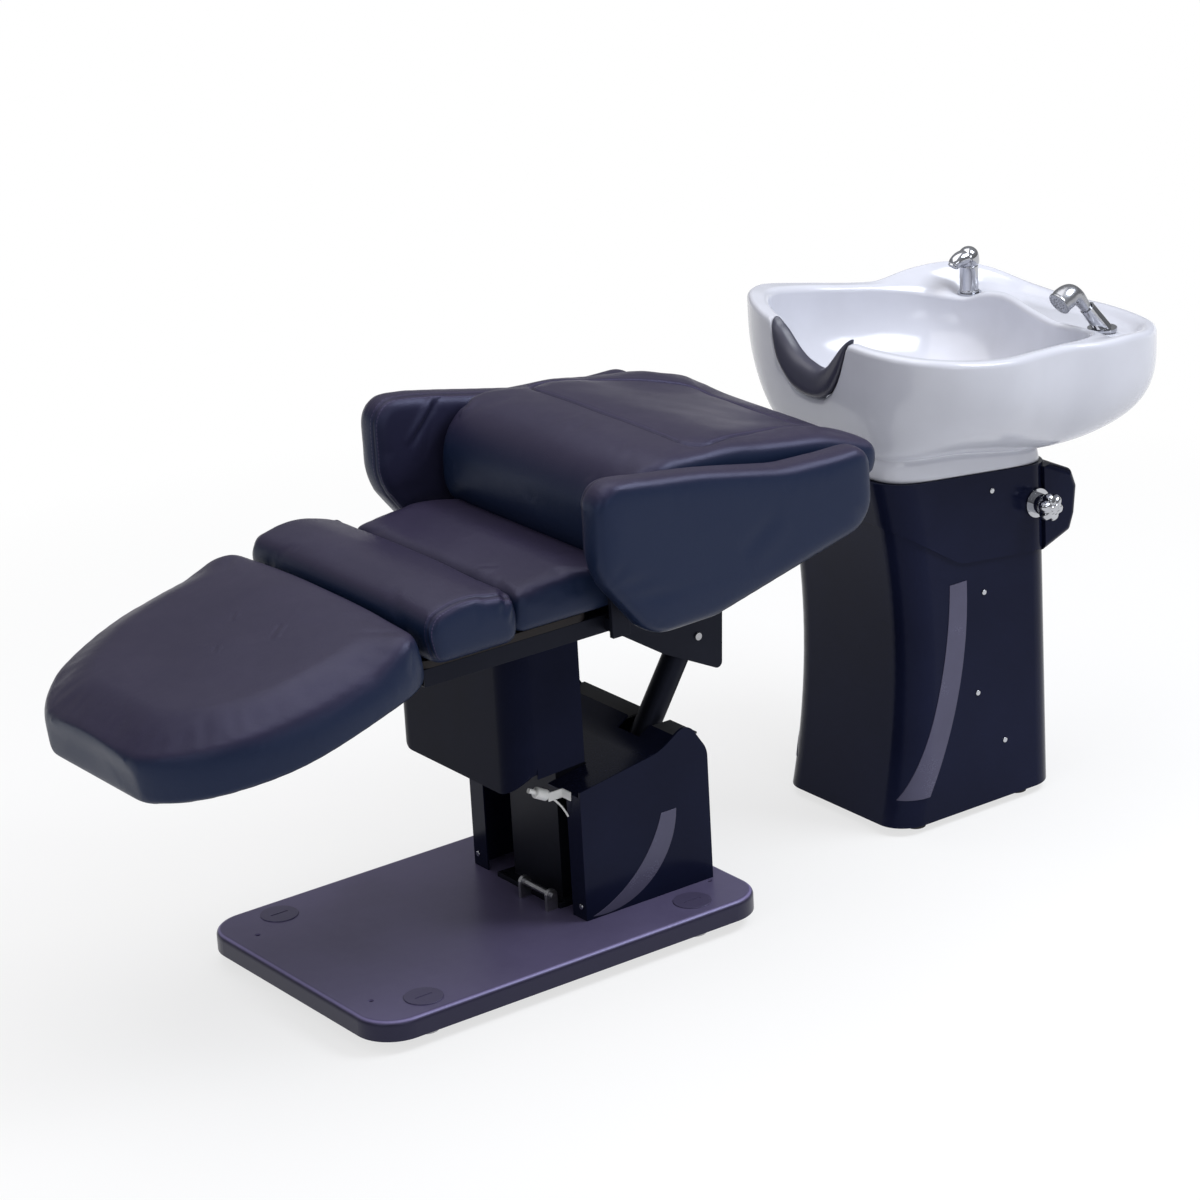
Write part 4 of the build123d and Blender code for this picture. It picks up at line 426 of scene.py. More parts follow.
def new_material(name, **shader):
    """Material with a Principled shader and its constant sockets."""
    made = bpy.data.materials.new(name)
    made.use_nodes = True
    tree = made.node_tree
    tree.nodes.clear()
    principled = tree.nodes.new("ShaderNodeBsdfPrincipled")
    output = tree.nodes.new("ShaderNodeOutputMaterial")
    tree.links.new(principled.outputs[0], output.inputs["Surface"])
    for key, value in shader.items():
        principled.inputs[key.replace("_", " ")].default_value = value
    return made, tree, principled


def bumped(tree, principled, height, strength, distance):
    """Sends a height to the shader's normal."""
    bump = node(tree, "ShaderNodeBump", {"Strength": strength, "Distance": distance, "Height": height})
    tree.links.new(bump.outputs[0], principled.inputs["Normal"])


def rgba(colour, share=1.0):
    """Colour with its alpha, made lighter or darker by the share."""
    return (colour[0] * share, colour[1] * share, colour[2] * share, 1.0)


def leather():
    """Smooth upholstery leather with grain, tone patches, seam stitches and painted shade on upright
    faces and in seam valleys.
    """
    colour = bpy.context.scene.bed_colours.leather
    side = bpy.context.scene.bed_colours.leather_side
    made, tree, principled = new_material("leather", Specular_IOR_Level=0.30,
                                          Specular_Tint=(0.58, 0.64, 1.0, 1.0))
    grain = use_group(tree, leather_grain, {"Colour": rgba(colour, 0.86), "Worn": rgba(colour, 1.22),
                                            "Roughness": 0.37})
    seam = node(tree, "ShaderNodeAttribute", attribute_name="seam")
    split = node(tree, "ShaderNodeSeparateXYZ", {0: seam.outputs["Vector"]})
    stitch = use_group(tree, stitch_line, {"Distance": split.outputs[0], "Along": split.outputs[1]})
    upright = node(tree, "ShaderNodeAttribute", attribute_name="upright").outputs["Fac"]
    # painted shade: faces that stand upright take the darker, bluer leather_side colour by the upright
    # attribute
    upright_shaded = blend(tree, upright, grain.outputs["Colour"], rgba(side))
    thread = blend(tree, stitch.outputs["Thread"], upright_shaded, rgba(colour, 1.7))
    # painted shade: the seam's narrow valley is darkened
    valley = maths(tree, "MULTIPLY", stitch.outputs["Valley"], 0.6)
    shaded = blend(tree, valley, thread, rgba(colour, 0.35))
    dust = use_group(tree, dust_veil, {"Amount": 0.008})
    tree.links.new(blend(tree, dust.outputs[0], shaded, (0.4, 0.4, 0.42, 1.0)),
                   principled.inputs["Base Color"])
    tree.links.new(grain.outputs["Roughness"], principled.inputs["Roughness"])
    thread_height = maths(tree, "MULTIPLY", stitch.outputs["Thread"], 2.0)
    valley_depth = maths(tree, "MULTIPLY", stitch.outputs["Valley"], 3.0)
    height = maths(tree, "ADD", grain.outputs["Height"], thread_height)
    height = maths(tree, "SUBTRACT", height, valley_depth)
    bumped(tree, principled, height, 0.32, 0.0005)
    return made


def coated(name, colour, roughness, spread, specular, size, fine_size, bump, lighter, tint=WHITE,
           dust=0.03, top=None):
    """A lacquered, powder-coated or moulded surface. Given the height of a top face,
    painted shade darkens the flanks under it and a painted highlight lightens its rim."""
    made, tree, principled = new_material(name, Specular_IOR_Level=specular, Specular_Tint=tint)
    play = use_group(tree, surface_play, {"Colour": rgba(colour), "Other": rgba(colour, lighter),
                                          "Roughness": roughness, "Spread": spread, "Size": size,
                                          "Fine size": fine_size})
    veil = use_group(tree, dust_veil, {"Amount": dust})
    paint = play.outputs["Colour"]
    if top is not None:
        place = node(tree, "ShaderNodeTexCoord").outputs["Object"]
        height = node(tree, "ShaderNodeSeparateXYZ", {0: place}).outputs[2]
        # painted shade on the flanks under the top face
        flank_shade = ramp(tree, height, top - 5.0 * MM, top - 2.2 * MM, 1.0, 0.0)
        paint = blend(tree, flank_shade, paint, rgba(colour, 0.22))
        # painted highlight: a thin band just under the top face's edge is lightened
        rim = maths(tree, "MULTIPLY", ramp(tree, height, top - 3.4 * MM, top - 1.8 * MM),
                    ramp(tree, height, top - 0.9 * MM, top - 0.25 * MM, 1.0, 0.0))
        paint = blend(tree, maths(tree, "MULTIPLY", rim, 0.55), paint, rgba(colour, 3.2))
    tree.links.new(blend(tree, veil.outputs[0], paint, (0.45, 0.45, 0.48, 1.0)),
                   principled.inputs["Base Color"])
    tree.links.new(play.outputs["Roughness"], principled.inputs["Roughness"])
    bumped(tree, principled, play.outputs["Height"], 0.25, bump)
    return made


def metal(name, colour, roughness, lines):
    """A bare or plated metal, with brushed lines or only faint unevenness."""
    made, tree, principled = new_material(name, Metallic=1.0)
    if lines:
        brushed = use_group(tree, brushed_lines, {"Roughness": roughness})
        height = brushed.outputs["Height"]
        rough = brushed.outputs["Roughness"]
        bump = 0.00012
    play = use_group(tree, surface_play, {"Colour": rgba(colour), "Other": rgba(colour, 0.86),
                                          "Roughness": roughness, "Spread": 0.12, "Size": 38.0,
                                          "Fine size": 420.0})
    if not lines:
        height = play.outputs["Height"]
        rough = play.outputs["Roughness"]
        bump = 0.00003
    tree.links.new(play.outputs["Colour"], principled.inputs["Base Color"])
    tree.links.new(rough, principled.inputs["Roughness"])
    bumped(tree, principled, height, 0.3, bump)
    return made


def glazed_ceramic():
    """Thick white glaze: a faint roll in the surface and rare pin specks."""
    colour = bpy.context.scene.bed_colours.ceramic
    made, tree, principled = new_material("glazed_ceramic", Specular_IOR_Level=0.45, Coat_Weight=0.18,
                                          Coat_Roughness=0.03)
    play = use_group(tree, surface_play, {"Colour": rgba(colour, 0.97), "Other": rgba(colour, 1.03),
                                          "Roughness": 0.19, "Spread": 0.05, "Size": 9.0,
                                          "Fine size": 26.0})
    place = node(tree, "ShaderNodeTexCoord").outputs["Object"]
    specks = node(tree, "ShaderNodeTexVoronoi", {"Vector": place, "Scale": 42.0}).outputs[0]
    dot = ramp(tree, specks, 0.010, 0.016, 0.35, 0.0)
    tree.links.new(blend(tree, dot, play.outputs["Colour"], rgba(colour, 0.6)),
                   principled.inputs["Base Color"])
    tree.links.new(play.outputs["Roughness"], principled.inputs["Roughness"])
    bumped(tree, principled, play.outputs["Height"], 0.12, 0.0016)
    return made


def plywood():
    """Board coloured nearly black: stretched grain in two tones."""
    made, tree, principled = new_material("plywood", Specular_IOR_Level=0.25)
    rings = object_noise(tree, 26.0, 5.0, 0.6, (0.25, 3.0, 3.0))
    board_tone = blend(tree, ramp(tree, rings, 0.35, 0.65), (0.011, 0.009, 0.010, 1), (0.020, 0.016, 0.016, 1))
    tree.links.new(board_tone, principled.inputs["Base Color"])
    tree.links.new(ramp(tree, rings, 0.3, 0.7, 0.55, 0.72), principled.inputs["Roughness"])
    bumped(tree, principled, rings, 0.4, 0.0004)
    return made


def finish(slot):
    """The material of a slot of the record, made once."""
    known = bpy.data.materials.get(FINISHES[slot][0])
    return known or FINISHES[slot][1]()


def colours():
    """The colours that the user sets."""
    return bpy.context.scene.bed_colours


def darker(colour, share):
    """A share of a colour's brightness."""
    return tuple(share * part for part in colour)


# reflections of the dark coats are bluish
LACQUER_TINT = (0.62, 0.66, 1.0, 1.0)
SATIN_TINT = (0.6, 0.64, 1.0, 1.0)

# slot of the record, or a finish of scene.py: (material, its maker)
FINISHES = {
    "upholstery": ("leather", leather),
    "cover_navy": ("navy_lacquer", lambda: coated(
        "navy_lacquer", colours().lacquer, 0.18, 0.08, 0.10, 5.0, 260.0, 0.00012, 1.35, LACQUER_TINT,
        0.008)),
    "shell_navy": ("navy_shell", lambda: coated(
        "navy_shell", colours().lacquer, 0.18, 0.08, 0.09, 4.0, 240.0, 0.00012, 1.4, LACQUER_TINT,
        0.008)),
    "skirt_satin": ("skirt_satin", lambda: coated(
        "skirt_satin", darker(colours().lacquer, 0.75), 0.34, 0.08, 0.045, 7.0, 600.0, 0.00012, 1.4,
        LACQUER_TINT, 0.006)),
    # the plate's top height gives it painted shade on its flanks and a painted highlight on its rim
    "plate_navy": ("plate_satin", lambda: coated(
        "plate_satin", colours().plate, 0.32, 0.10, 0.34, 6.0, 900.0, 0.00016, 1.18, SATIN_TINT, 0.02,
        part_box("base_cover")[1].z)),
    "cap_navy": ("cap_satin", lambda: coated(
        "cap_satin", darker(colours().plate, 0.72), 0.36, 0.08, 0.4, 10.0, 800.0, 0.00015, 1.1,
        SATIN_TINT, 0.01)),
    "black_steel": ("black_powder_coat", lambda: coated(
        "black_powder_coat", (0.004, 0.0045, 0.007), 0.42, 0.12, 0.16, 9.0, 1400.0, 0.0002, 1.6,
        (0.6, 0.65, 1.0, 1.0), 0.01)),
    "black_plastic": ("black_plastic", lambda: coated(
        "black_plastic", (0.012, 0.012, 0.015), 0.42, 0.10, 0.4, 12.0, 1100.0, 0.00015, 1.4)),
    "trim_violet": ("trim_gloss", lambda: coated(
        "trim_gloss", colours().trim, 0.26, 0.08, 0.4, 14.0, 500.0, 0.0001, 1.12, (0.7, 0.75, 1.0, 1.0),
        0.01)),
    "steel": ("brushed_steel", lambda: metal("brushed_steel", (0.42, 0.42, 0.44), 0.34, True)),
    "chrome": ("chrome_plate", lambda: metal("chrome_plate", colours().chrome, 0.07, False)),
    "satin_chrome": ("satin_plate", lambda: metal("satin_plate", (0.40, 0.41, 0.44), 0.27, False)),
    "board": ("plywood", plywood),
    "white_plastic": ("white_plastic", lambda: coated(
        "white_plastic", (0.58, 0.58, 0.60), 0.35, 0.08, 0.5, 30.0, 800.0, 0.0001, 0.92)),
    "white_ceramic": ("glazed_ceramic", glazed_ceramic),
    "soft_dark": ("soft_dark", lambda: coated(
        "soft_dark", (0.024, 0.024, 0.038), 0.36, 0.10, 0.5, 22.0, 700.0, 0.0002, 1.5,
        (0.85, 0.88, 1.0, 1.0))),
}


# Padded pieces

def merged_copy(name, source):
    """New object with a copy of a CAD node's mesh, its loose triangles joined."""
    mesh = bpy.data.meshes.new(name)
    bm = bmesh.new()
    bm.from_mesh(nodes[source].data)
    bmesh.ops.remove_doubles(bm, verts=bm.verts, dist=1e-5)
    bm.to_mesh(mesh)
    bm.free()
    return new_object(name, mesh)


def settle(obj):
    """Puts the result of an object's modifiers into its mesh."""
    held = bpy.context.evaluated_depsgraph_get()
    result = bpy.data.meshes.new_from_object(obj.evaluated_get(held))
    old = obj.data
    obj.modifiers.clear()
    obj.data = result
    bpy.data.meshes.remove(old)


def points_of(mesh):
    """The mesh's points as an array."""
    found = np.empty(len(mesh.vertices) * 3)
    mesh.vertices.foreach_get("co", found)
    return found.reshape(-1, 3)


def normals_of(mesh):
    """The mesh's point normals as an array."""
    found = np.empty(len(mesh.vertices) * 3, np.float32)
    mesh.vertex_normals.foreach_get("vector", found)
    return found.reshape(-1, 3).astype(float)


def put_points(mesh, points):
    """Writes points back to the mesh."""
    mesh.vertices.foreach_set("co", points.reshape(-1))
    mesh.update()


def start_pad(name, source):
    """Even mesh a little inside the CAD solid: remeshed, smoothed, and drawn in along its normals."""
    sizes = bpy.context.scene.bed_cushions
    obj = merged_copy(name, source)
    remesh = obj.modifiers.new("even", "REMESH")
    remesh.mode = "VOXEL"
    remesh.voxel_size = sizes.voxel
    soften = obj.modifiers.new("soften", "SMOOTH")
    soften.factor = 0.5
    soften.iterations = 7
    settle(obj)
    mesh = obj.data
    mesh.polygons.foreach_set("use_smooth", np.ones(len(mesh.polygons), bool))
    put_points(mesh, points_of(mesh) - normals_of(mesh) * sizes.inset)
    return obj


CLOTH_FRAMES = 20


def fill_pads(pads):
    """Blows all the pads up together as cloth under pressure, and holds each point's move under the
    swell: move = swell times tanh(move over swell), along its own way. The foam under the cover
    evens this out: under half of each move is the cloth's own, the rest goes straight outwards.
    Undersides are held."""
    sizes = bpy.context.scene.bed_cushions
    rest = {obj: points_of(obj.data) for obj in pads}
    scene = bpy.context.scene
    for obj in pads:
        under = np.flatnonzero(normals_of(obj.data)[:, 2] < -0.55)
        held = obj.vertex_groups.new(name="held")
        held.add(under.tolist(), 1.0, "REPLACE")
        cloth = obj.modifiers.new("filling", "CLOTH")
        made = cloth.settings
        made.quality = 4
        made.mass = 0.3
        made.tension_stiffness = 12.0
        made.compression_stiffness = 12.0
        made.shear_stiffness = 6.0
        made.bending_stiffness = 6.0
        made.vertex_group_mass = "held"
        made.use_pressure = True
        made.uniform_pressure_force = sizes.pressure
        made.effector_weights.gravity = 0.0
        cloth.point_cache.frame_start = 1
        cloth.point_cache.frame_end = CLOTH_FRAMES
    for number in range(1, CLOTH_FRAMES + 1):
        scene.frame_set(number)
    held = bpy.context.evaluated_depsgraph_get()
    for obj in pads:
        shaped = points_of(obj.evaluated_get(held).data)
        obj.modifiers.clear()
        obj.vertex_groups.clear()
        move = shaped - rest[obj]
        length = np.maximum(np.linalg.norm(move, axis=1), 1e-9)[:, None]
        own = move / length * sizes.swell * np.tanh(length / sizes.swell)
        even = normals_of(obj.data) * sizes.swell * 0.95
        put_points(obj.data, rest[obj] + own * sizes.cloth_share + even * (1 - sizes.cloth_share))
    scene.frame_set(1)


def finer(obj):
    """One subdivision, put into the mesh."""
    step = obj.modifiers.new("finer", "SUBSURF")
    step.levels = 1
    step.render_levels = 1
    settle(obj)
    mesh = obj.data
    mesh.polygons.foreach_set("use_smooth", np.ones(len(mesh.polygons), bool))


def ripple(points, seed):
    """Slow unevenness between -1 and 1: the mean of nine plane waves, 60 to 190 mm long, in seeded
    directions and phases."""
    draw = np.random.default_rng(seed)
    ways = draw.normal(size=(9, 3))
    ways /= np.linalg.norm(ways, axis=1)[:, None]
    lengths = draw.uniform(0.06, 0.19, 9)
    waves = np.sin(points @ (ways / lengths[:, None]).T * 2 * np.pi + draw.uniform(0, 2 * np.pi, 9))
    return waves.mean(1) * 1.6


def folded(points, normals, start, end, width, depth, lift):
    """Move of a crease in the cover: a point sinks by depth times the bell of its distance from the
    line over width, a strip beside the line rises by lift, and both fade out at the line's ends."""
    start, end = at(start), at(end)
    line = end - start
    share = np.clip((points - start) @ line / (line @ line), 0, 1)
    away = points - (start + share[:, None] * line)
    distance = np.linalg.norm(away, axis=1)
    side = np.einsum("ij,ij->i", away, np.cross(line, normals))
    fade = np.sin(np.pi * np.clip(share, 0, 1)) ** 0.6
    width *= MM
    bell = np.exp(-(distance / width) ** 2)
    ridge = np.exp(-((distance - 2.0 * width) / (1.2 * width)) ** 2) * (side > 0)
    return normals * ((lift * ridge - depth * bell) * MM * fade)[:, None]


def corner_distance(points, corners, radius):
    """Signed distance, less than zero inside, from a polygon with rounded corners, and the way along
    it: the distance from each side of the polygon drawn in by the radius, less the radius."""
    corners = np.array(corners, float)
    best = np.full(len(points), np.inf)
    along = np.zeros(len(points))
    inside = np.ones(len(points), bool)
    run = 0.0
    for a, b in zip(corners, np.roll(corners, -1, 0)):
        side = b - a
        length = np.linalg.norm(side)
        share = np.clip((points - a) @ side / length ** 2, 0, 1)
        distance = np.linalg.norm(points - a - share[:, None] * side, axis=1)
        nearer = distance < best
        along = np.where(nearer, run + share * length, along)
        best = np.where(nearer, distance, best)
        inside &= (points - a) @ np.array([-side[1], side[0]]) > 0
        run += length
    return np.where(inside, -best, best) - radius, along


def no_seam(points, normals):
    """Distance and way along for a cover without a seam in view."""
    return np.ones(len(points)), np.zeros(len(points)), np.zeros(len(points))


# inset panel of the back: (station, half width) at the foot and the head end, and its corners' radius
PANEL_ENDS = ((637, 214), (918, 150))
PANEL_ROUND = 34.0


def panel_seam(points, normals):
    """The back's inset panel: wide at the lumbar end and narrow at the head."""
    inset = PANEL_ROUND
    foot, head = PANEL_ENDS
    low_x, low_y = foot[0] + inset, foot[1] - inset
    high_x, high_y = head[0] - inset, head[1] - inset * 0.8
    corners = at([(low_x, -low_y, 0), (high_x, -high_y, 0), (high_x, high_y, 0),
                  (low_x, low_y, 0)])[:, :2]
    distance, along = corner_distance(points[:, :2], corners, inset * MM)
    upper = np.clip((normals[:, 2] - 0.25) / 0.3, 0, 1)
    return np.where(upper > 0, distance, 1.0), along, upper


def side_seams(inner, outer):
    """Two seams round an arm, where its side panels meet the strip that runs over its edge."""
    def seams(points, normals):
        across = np.abs(points[:, 1]) / MM
        middle = points.mean(0)
        distance = np.minimum(np.abs(across - inner), np.abs(across - outer)) * MM
        signed = distance * np.where(np.abs(across - inner) < np.abs(across - outer), 1, -1)
        turn = np.arctan2(points[:, 2] - middle[2], points[:, 0] - middle[0])
        rim = np.clip((0.93 - np.abs(normals[:, 1])) / 0.1, 0, 1)
        return np.where(rim > 0, signed, 1.0), turn * 0.22, rim
    return seams


def end_seams(half):
    """Seams at both ends of the seat's roll, where the wrap meets the end panels."""
    def seams(points, normals):
        distance = np.abs(points[:, 1]) - half * MM
        rim = np.clip((0.9 - np.abs(normals[:, 1])) / 0.1, 0, 1) * (normals[:, 2] > -0.6)
        turn = np.arctan2(points[:, 2] - points[:, 2].mean(), points[:, 0] - points[:, 0].mean())
        return np.where(rim > 0, distance, 1.0), turn * 0.09, rim
    return seams


def eased(value, low, high):
    """Smooth step from 0 at low to 1 at high."""
    share = np.clip((value - low) / (high - low), 0, 1)
    return share * share * (3 - 2 * share)


def outline_share(points, middle_x):
    """Share of the way from a middle to the outline in plan: the distance from the middle over the
    greatest distance found in the same direction."""
    x = (points[:, 0] - FOOT_END) / MM - middle_x
    y = points[:, 1] / MM
    turn = np.arctan2(y, x)
    reach = np.hypot(x, y)
    sectors = ((turn / math.tau + 0.5) * 120).astype(int) % 120
    most = np.zeros(120)
    np.maximum.at(most, sectors, reach)
    most = (np.roll(most, 1) + 2 * most + np.roll(most, -1)) / 4
    middles = ((np.arange(120) + 0.5) / 120 - 0.5) * math.tau
    return reach / np.interp(turn, middles, most, period=math.tau)


def tuck_under(points):
    """The seat is crowned, and its rear face runs back under the back cushion as a tongue that thins
    upwards."""
    x = (points[:, 0] - FOOT_END) / MM
    z = points[:, 2] / MM
    reach = 76.0 * np.clip((651.0 - z) / 27.0, 0, 1) * eased(x, 425.0, 458.0)
    crown = 6.0 * eased(z, 615.0, 640.0) * (1 - eased(x, 400.0, 452.0))
    return points + np.stack([reach, 0 * reach, crown], 1) * MM


def crowned(points):
    """The back's sides stand a little proud at the head end, and its front's lower lip hangs down
    over the board to the seat."""
    x = (points[:, 0] - FOOT_END) / MM
    y = np.abs(points[:, 1]) / MM
    z = points[:, 2] / MM
    proud = 15.0 * np.exp(-((x - 880.0) / 95.0) ** 2) * eased(y, 90.0, 215.0) * eased(z, 640.0, 700.0)
    lip = 15.0 * np.exp(-((x - 528.0) / 42.0) ** 2) * (1 - eased(z, 628.0, 668.0))
    points[:, 2] += (proud - lip) * MM
    return points


# the leg rest's middle plane: its height at a station, and its rise towards the seat
LEG_STATION = 117.0
LEG_HEIGHT = 590.0
LEG_RISE = math.tan(math.radians(13.4))


def rounded_tip(points):
    """The leg rest's tip is rounder in plan than a straight end, and the pad is crowned: its top
    rises and its underside sinks towards the free end."""
    x = (points[:, 0] - FOOT_END) / MM
    above = points[:, 2] / MM - (LEG_HEIGHT + (x - LEG_STATION) * LEG_RISE)
    reach = np.clip((x + 205.0) / -110.0, 0, 1)
    points[:, 1] *= 1 - 0.12 * reach ** 2
    up = 24.0 * eased(above, -22.0, 26.0)
    rounding = eased(outline_share(points, -50.0), 0.70, 1.0) * (1 - eased(x, 20.0, 90.0))
    up -= 15.0 * rounding * eased(above, -12.0, 20.0)
    down = 9.0 * (1 - eased(above, -30.0, 0.0)) * (1 - eased(x, -120.0, 60.0))
    points[:, 2] += (up - down) * MM
    return points


def full_roll(points):
    """The seat's roll is crowned."""
    points[:, 2] += 9.0 * MM * eased(points[:, 2] / MM, 590.0, 645.0)
    return points


def fuller_edge(points):
    """The arm's top edge stands higher along the back cushion, which it meets."""
    x = (points[:, 0] - FOOT_END) / MM
    z = points[:, 2] / MM
    columns = np.clip((x / 12.0).astype(int), 0, 99)
    tops = np.full(100, -1e6)
    np.maximum.at(tops, columns, z)
    found = tops > -1e5
    top = np.interp(x, (np.arange(100)[found] + 0.5) * 12.0, tops[found])
    share = eased(z, top - 70.0, top - 8.0)
    points[:, 2] += 9.0 * MM * share * eased(x, 440.0, 600.0)
    return points


# name: (CAD node, body, fill, seams, share of the channel's depth, creases in millimetres, reshaping)
PADS = {
    "leg_rest_pad": ("leg_cushion", "leg_rest", 0.8, no_seam, 0.0, [
        ((-28, 30, 597), (-8, 48, 602), 3.5, 0.8, 0.5),
        ((-30, -78, 597), (10, -50, 604), 4.0, 0.9, 0.6),
        ((-96, -30, 580), (-78, -14, 584), 3.0, 0.6, 0.4),
        ((108, -262, 618), (86, -272, 575), 6.0, 2.0, 1.2),
        ((108, 262, 618), (86, 272, 575), 6.0, 2.0, 1.2)], rounded_tip),
    "seat_roll_pad": ("seat_roll", "carriage", 0.85, end_seams(236), 0.25, [
        ((290, -214, 658), (262, -250, 622), 6.0, 3.2, 2.2),
        ((296, -228, 640), (276, -252, 606), 5.0, 2.4, 1.6),
        ((150, -236, 650), (136, -252, 612), 5.0, 1.6, 1.2),
        ((290, 214, 658), (262, 250, 622), 6.0, 3.0, 2.0),
        ((150, 236, 650), (136, 252, 612), 5.0, 1.6, 1.2)], full_roll),
    "seat_flat_pad": ("seat_cushion", "carriage", 0.75, no_seam, 0.0, [
        ((320, -80, 640), (352, -118, 642), 6.0, 0.9, 0.6),
        ((420, 120, 650), (452, 160, 652), 6.0, 1.1, 0.8)], tuck_under),
    "back_pad": ("back_cushion", "backrest", 0.8, panel_seam, 1.0, [
        ((500, -225, 788), (560, -238, 762), 7.0, 2.4, 1.6),
        ((520, -236, 742), (580, -244, 716), 7.0, 1.8, 1.2),
        ((500, 225, 788), (560, 238, 762), 7.0, 2.4, 1.6),
        ((500, -150, 760), (486, -190, 700), 9.0, 2.2, 1.6),
        ((560, -40, 788), (610, 10, 785), 9.0, 0.9, 0.7),
        ((930, -150, 730), (958, -190, 722), 6.0, 1.1, 0.8),
        ((930, 150, 730), (958, 190, 722), 6.0, 1.1, 0.8)], crowned),
    "arm_pad_near": ("arm_near", "backrest", 0.95, side_seams(272, 999), 0.22, [
        ((402, -262, 770), (470, -258, 800), 6.0, 2.6, 2.0),
        ((392, -276, 752), (430, -262, 790), 5.0, 1.8, 1.5),
        ((640, -320, 640), (720, -320, 690), 14.0, 0.9, 0.7)], fuller_edge),
    "arm_pad_far": ("arm_far", "backrest", 0.85, side_seams(272, 306), 0.22, [
        ((520, 258, 795), (448, 258, 716), 5.5, 3.4, 2.8),
        ((500, 258, 770), (470, 258, 690), 8.0, 1.4, 1.0)], None),
}


def dress_pad(obj, seams, depth_share, creases, reshape, seed):
    """Seam channels, creases and slow unevenness on a filled pad, and its seam attribute.
    At a seam the cover sinks by depth times the bell of its distance; a channel this deep also lets
    the padding rise again a little way off."""
    sizes = bpy.context.scene.bed_cushions
    mesh = obj.data
    points = points_of(mesh)
    normals = normals_of(mesh)
    distance, along, strength = seams(points, normals)
    bell = np.exp(-(distance / sizes.channel_width) ** 2)
    hollow = np.exp(-(distance / (5 * sizes.channel_width)) ** 2)
    sink = sizes.channel_depth * depth_share * strength * (0.8 * bell + 0.35 * hollow)
    top = np.clip(normals[:, 2] + 0.6, 0, 1)
    moved = points + normals * (sizes.ripple * top * ripple(points, seed) - sink)[:, None]
    for crease in creases:
        moved = moved + folded(points, normals, *crease)
    if reshape:
        moved = reshape(moved)
    put_points(mesh, moved)
    seam = mesh.attributes.new("seam", "FLOAT_VECTOR", "POINT")
    values = np.stack([distance, along, strength], 1)
    seam.data.foreach_set("vector", values.reshape(-1).astype(np.float32))
    # painted shade share: how much of the darker leather_side colour a point takes, most where it faces
    # sideways and less where it turns to the middle
    upright = mesh.attributes.new("upright", "FLOAT", "POINT")
    facing = normals_of(mesh)
    inward = np.clip(-facing[:, 1] * np.sign(points[:, 1]), 0, 1)
    share = (1 - eased(facing[:, 2], 0.15, 0.80)) * (1 - 0.6 * inward)
    upright.data.foreach_set("value", share.astype(np.float32))


class BED_OT_cushions(bpy.types.Operator):
    """Leg rest, seat, back and arms as filled and sewn pads"""
    bl_idname = "bed.cushions"
    bl_label = "Cushions"

    def execute(self, context):
        pads = {name: start_pad(name, row[0]) for name, row in PADS.items()}
        fill_pads(list(pads.values()))
        for seed, (name, obj) in enumerate(pads.items()):
            source, body, fill, seams, depth_share, creases, reshape = PADS[name]
            finer(obj)
            dress_pad(obj, seams, depth_share, creases, reshape, seed)
            obj.data.materials.clear()
            obj.data.materials.append(finish("upholstery"))
            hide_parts(source)
            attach(obj, body)
        return {"FINISHED"}


# Basin

RIM_FALL = math.tan(math.radians(6.2))
BOWL_MIDDLE = np.array([1255.0, 0.0])
FOOT_MIDDLE = np.array([1234.0, 0.0])
FOOT_HALF = (170.0, 156.0)
FRONT_HEIGHT = 816.0
BASIN_DEPTH = 213.0
BOWL_DEPTH = 150.0
BOWL_POWER = 2.6
FOOT_POWER = 6.0
FOOT_FLARE = 38.0
CUT_ROUND = 9.0
NO_CUT = 2000.0
DRAIN_RADIUS = 24.0
UNDER_BOWL = 172.0
RIM_PLAN = [(1036, 0), (1036, 76), (1043, 132), (1064, 186), (1098, 232), (1152, 268), (1235, 282),
            (1309, 272), (1377, 258), (1446, 250), (1519, 232), (1580, 203), (1630, 150),
            (1652, 80), (1658, 0), (1652, -80), (1630, -150), (1580, -201), (1519, -227),
            (1446, -240), (1377, -235), (1309, -243), (1235, -254), (1158, -243), (1106, -212),
            (1070, -172), (1049, -126), (1038, -70)]
LIP_PLAN = [(1062, 0), (1062, 60), (1070, 116), (1094, 172), (1143, 222), (1228, 247), (1309, 238),
            (1377, 224), (1436, 202), (1468, 170), (1488, 132), (1500, 95), (1500, 60), (1486, -6),
            (1472, -66), (1477, -108), (1486, -138), (1468, -172), (1430, -195), (1377, -207),
            (1309, -217), (1225, -226), (1145, -203), (1098, -158), (1074, -108), (1064, -56)]
# (degrees round from the back, height over the sloping rim plane)
RIM_RISE = [(0, -6), (11, -9), (22, 1), (31, 26), (41, 36), (52, 27), (64, 8), (78, 10), (94, 16),
            (112, 27), (126, 30), (140, 24), (150, 16), (158, 10), (202, 10), (210, 6), (232, 0),
            (265, -4), (297, 0), (308, -1), (319, 2), (328, -3), (341, -5)]
LIP_RISE = [(0, 0), (10, 5), (18, 9), (25, 6), (32, -6), (42, -8), (53, 0), (64, 6), (78, 9),
            (94, 14), (112, 23), (126, 25), (140, 20), (150, 14), (158, 10), (202, 10), (210, 6),
            (232, 0), (265, -4), (297, 0), (308, -1), (319, -2), (328, -5), (341, -4)]
# fittings stand on flats: (station, distance from the middle)
FLATS = [(1508.0, 165.0), (1528.0, -136.0)]
FLAT_DROP = 12.5
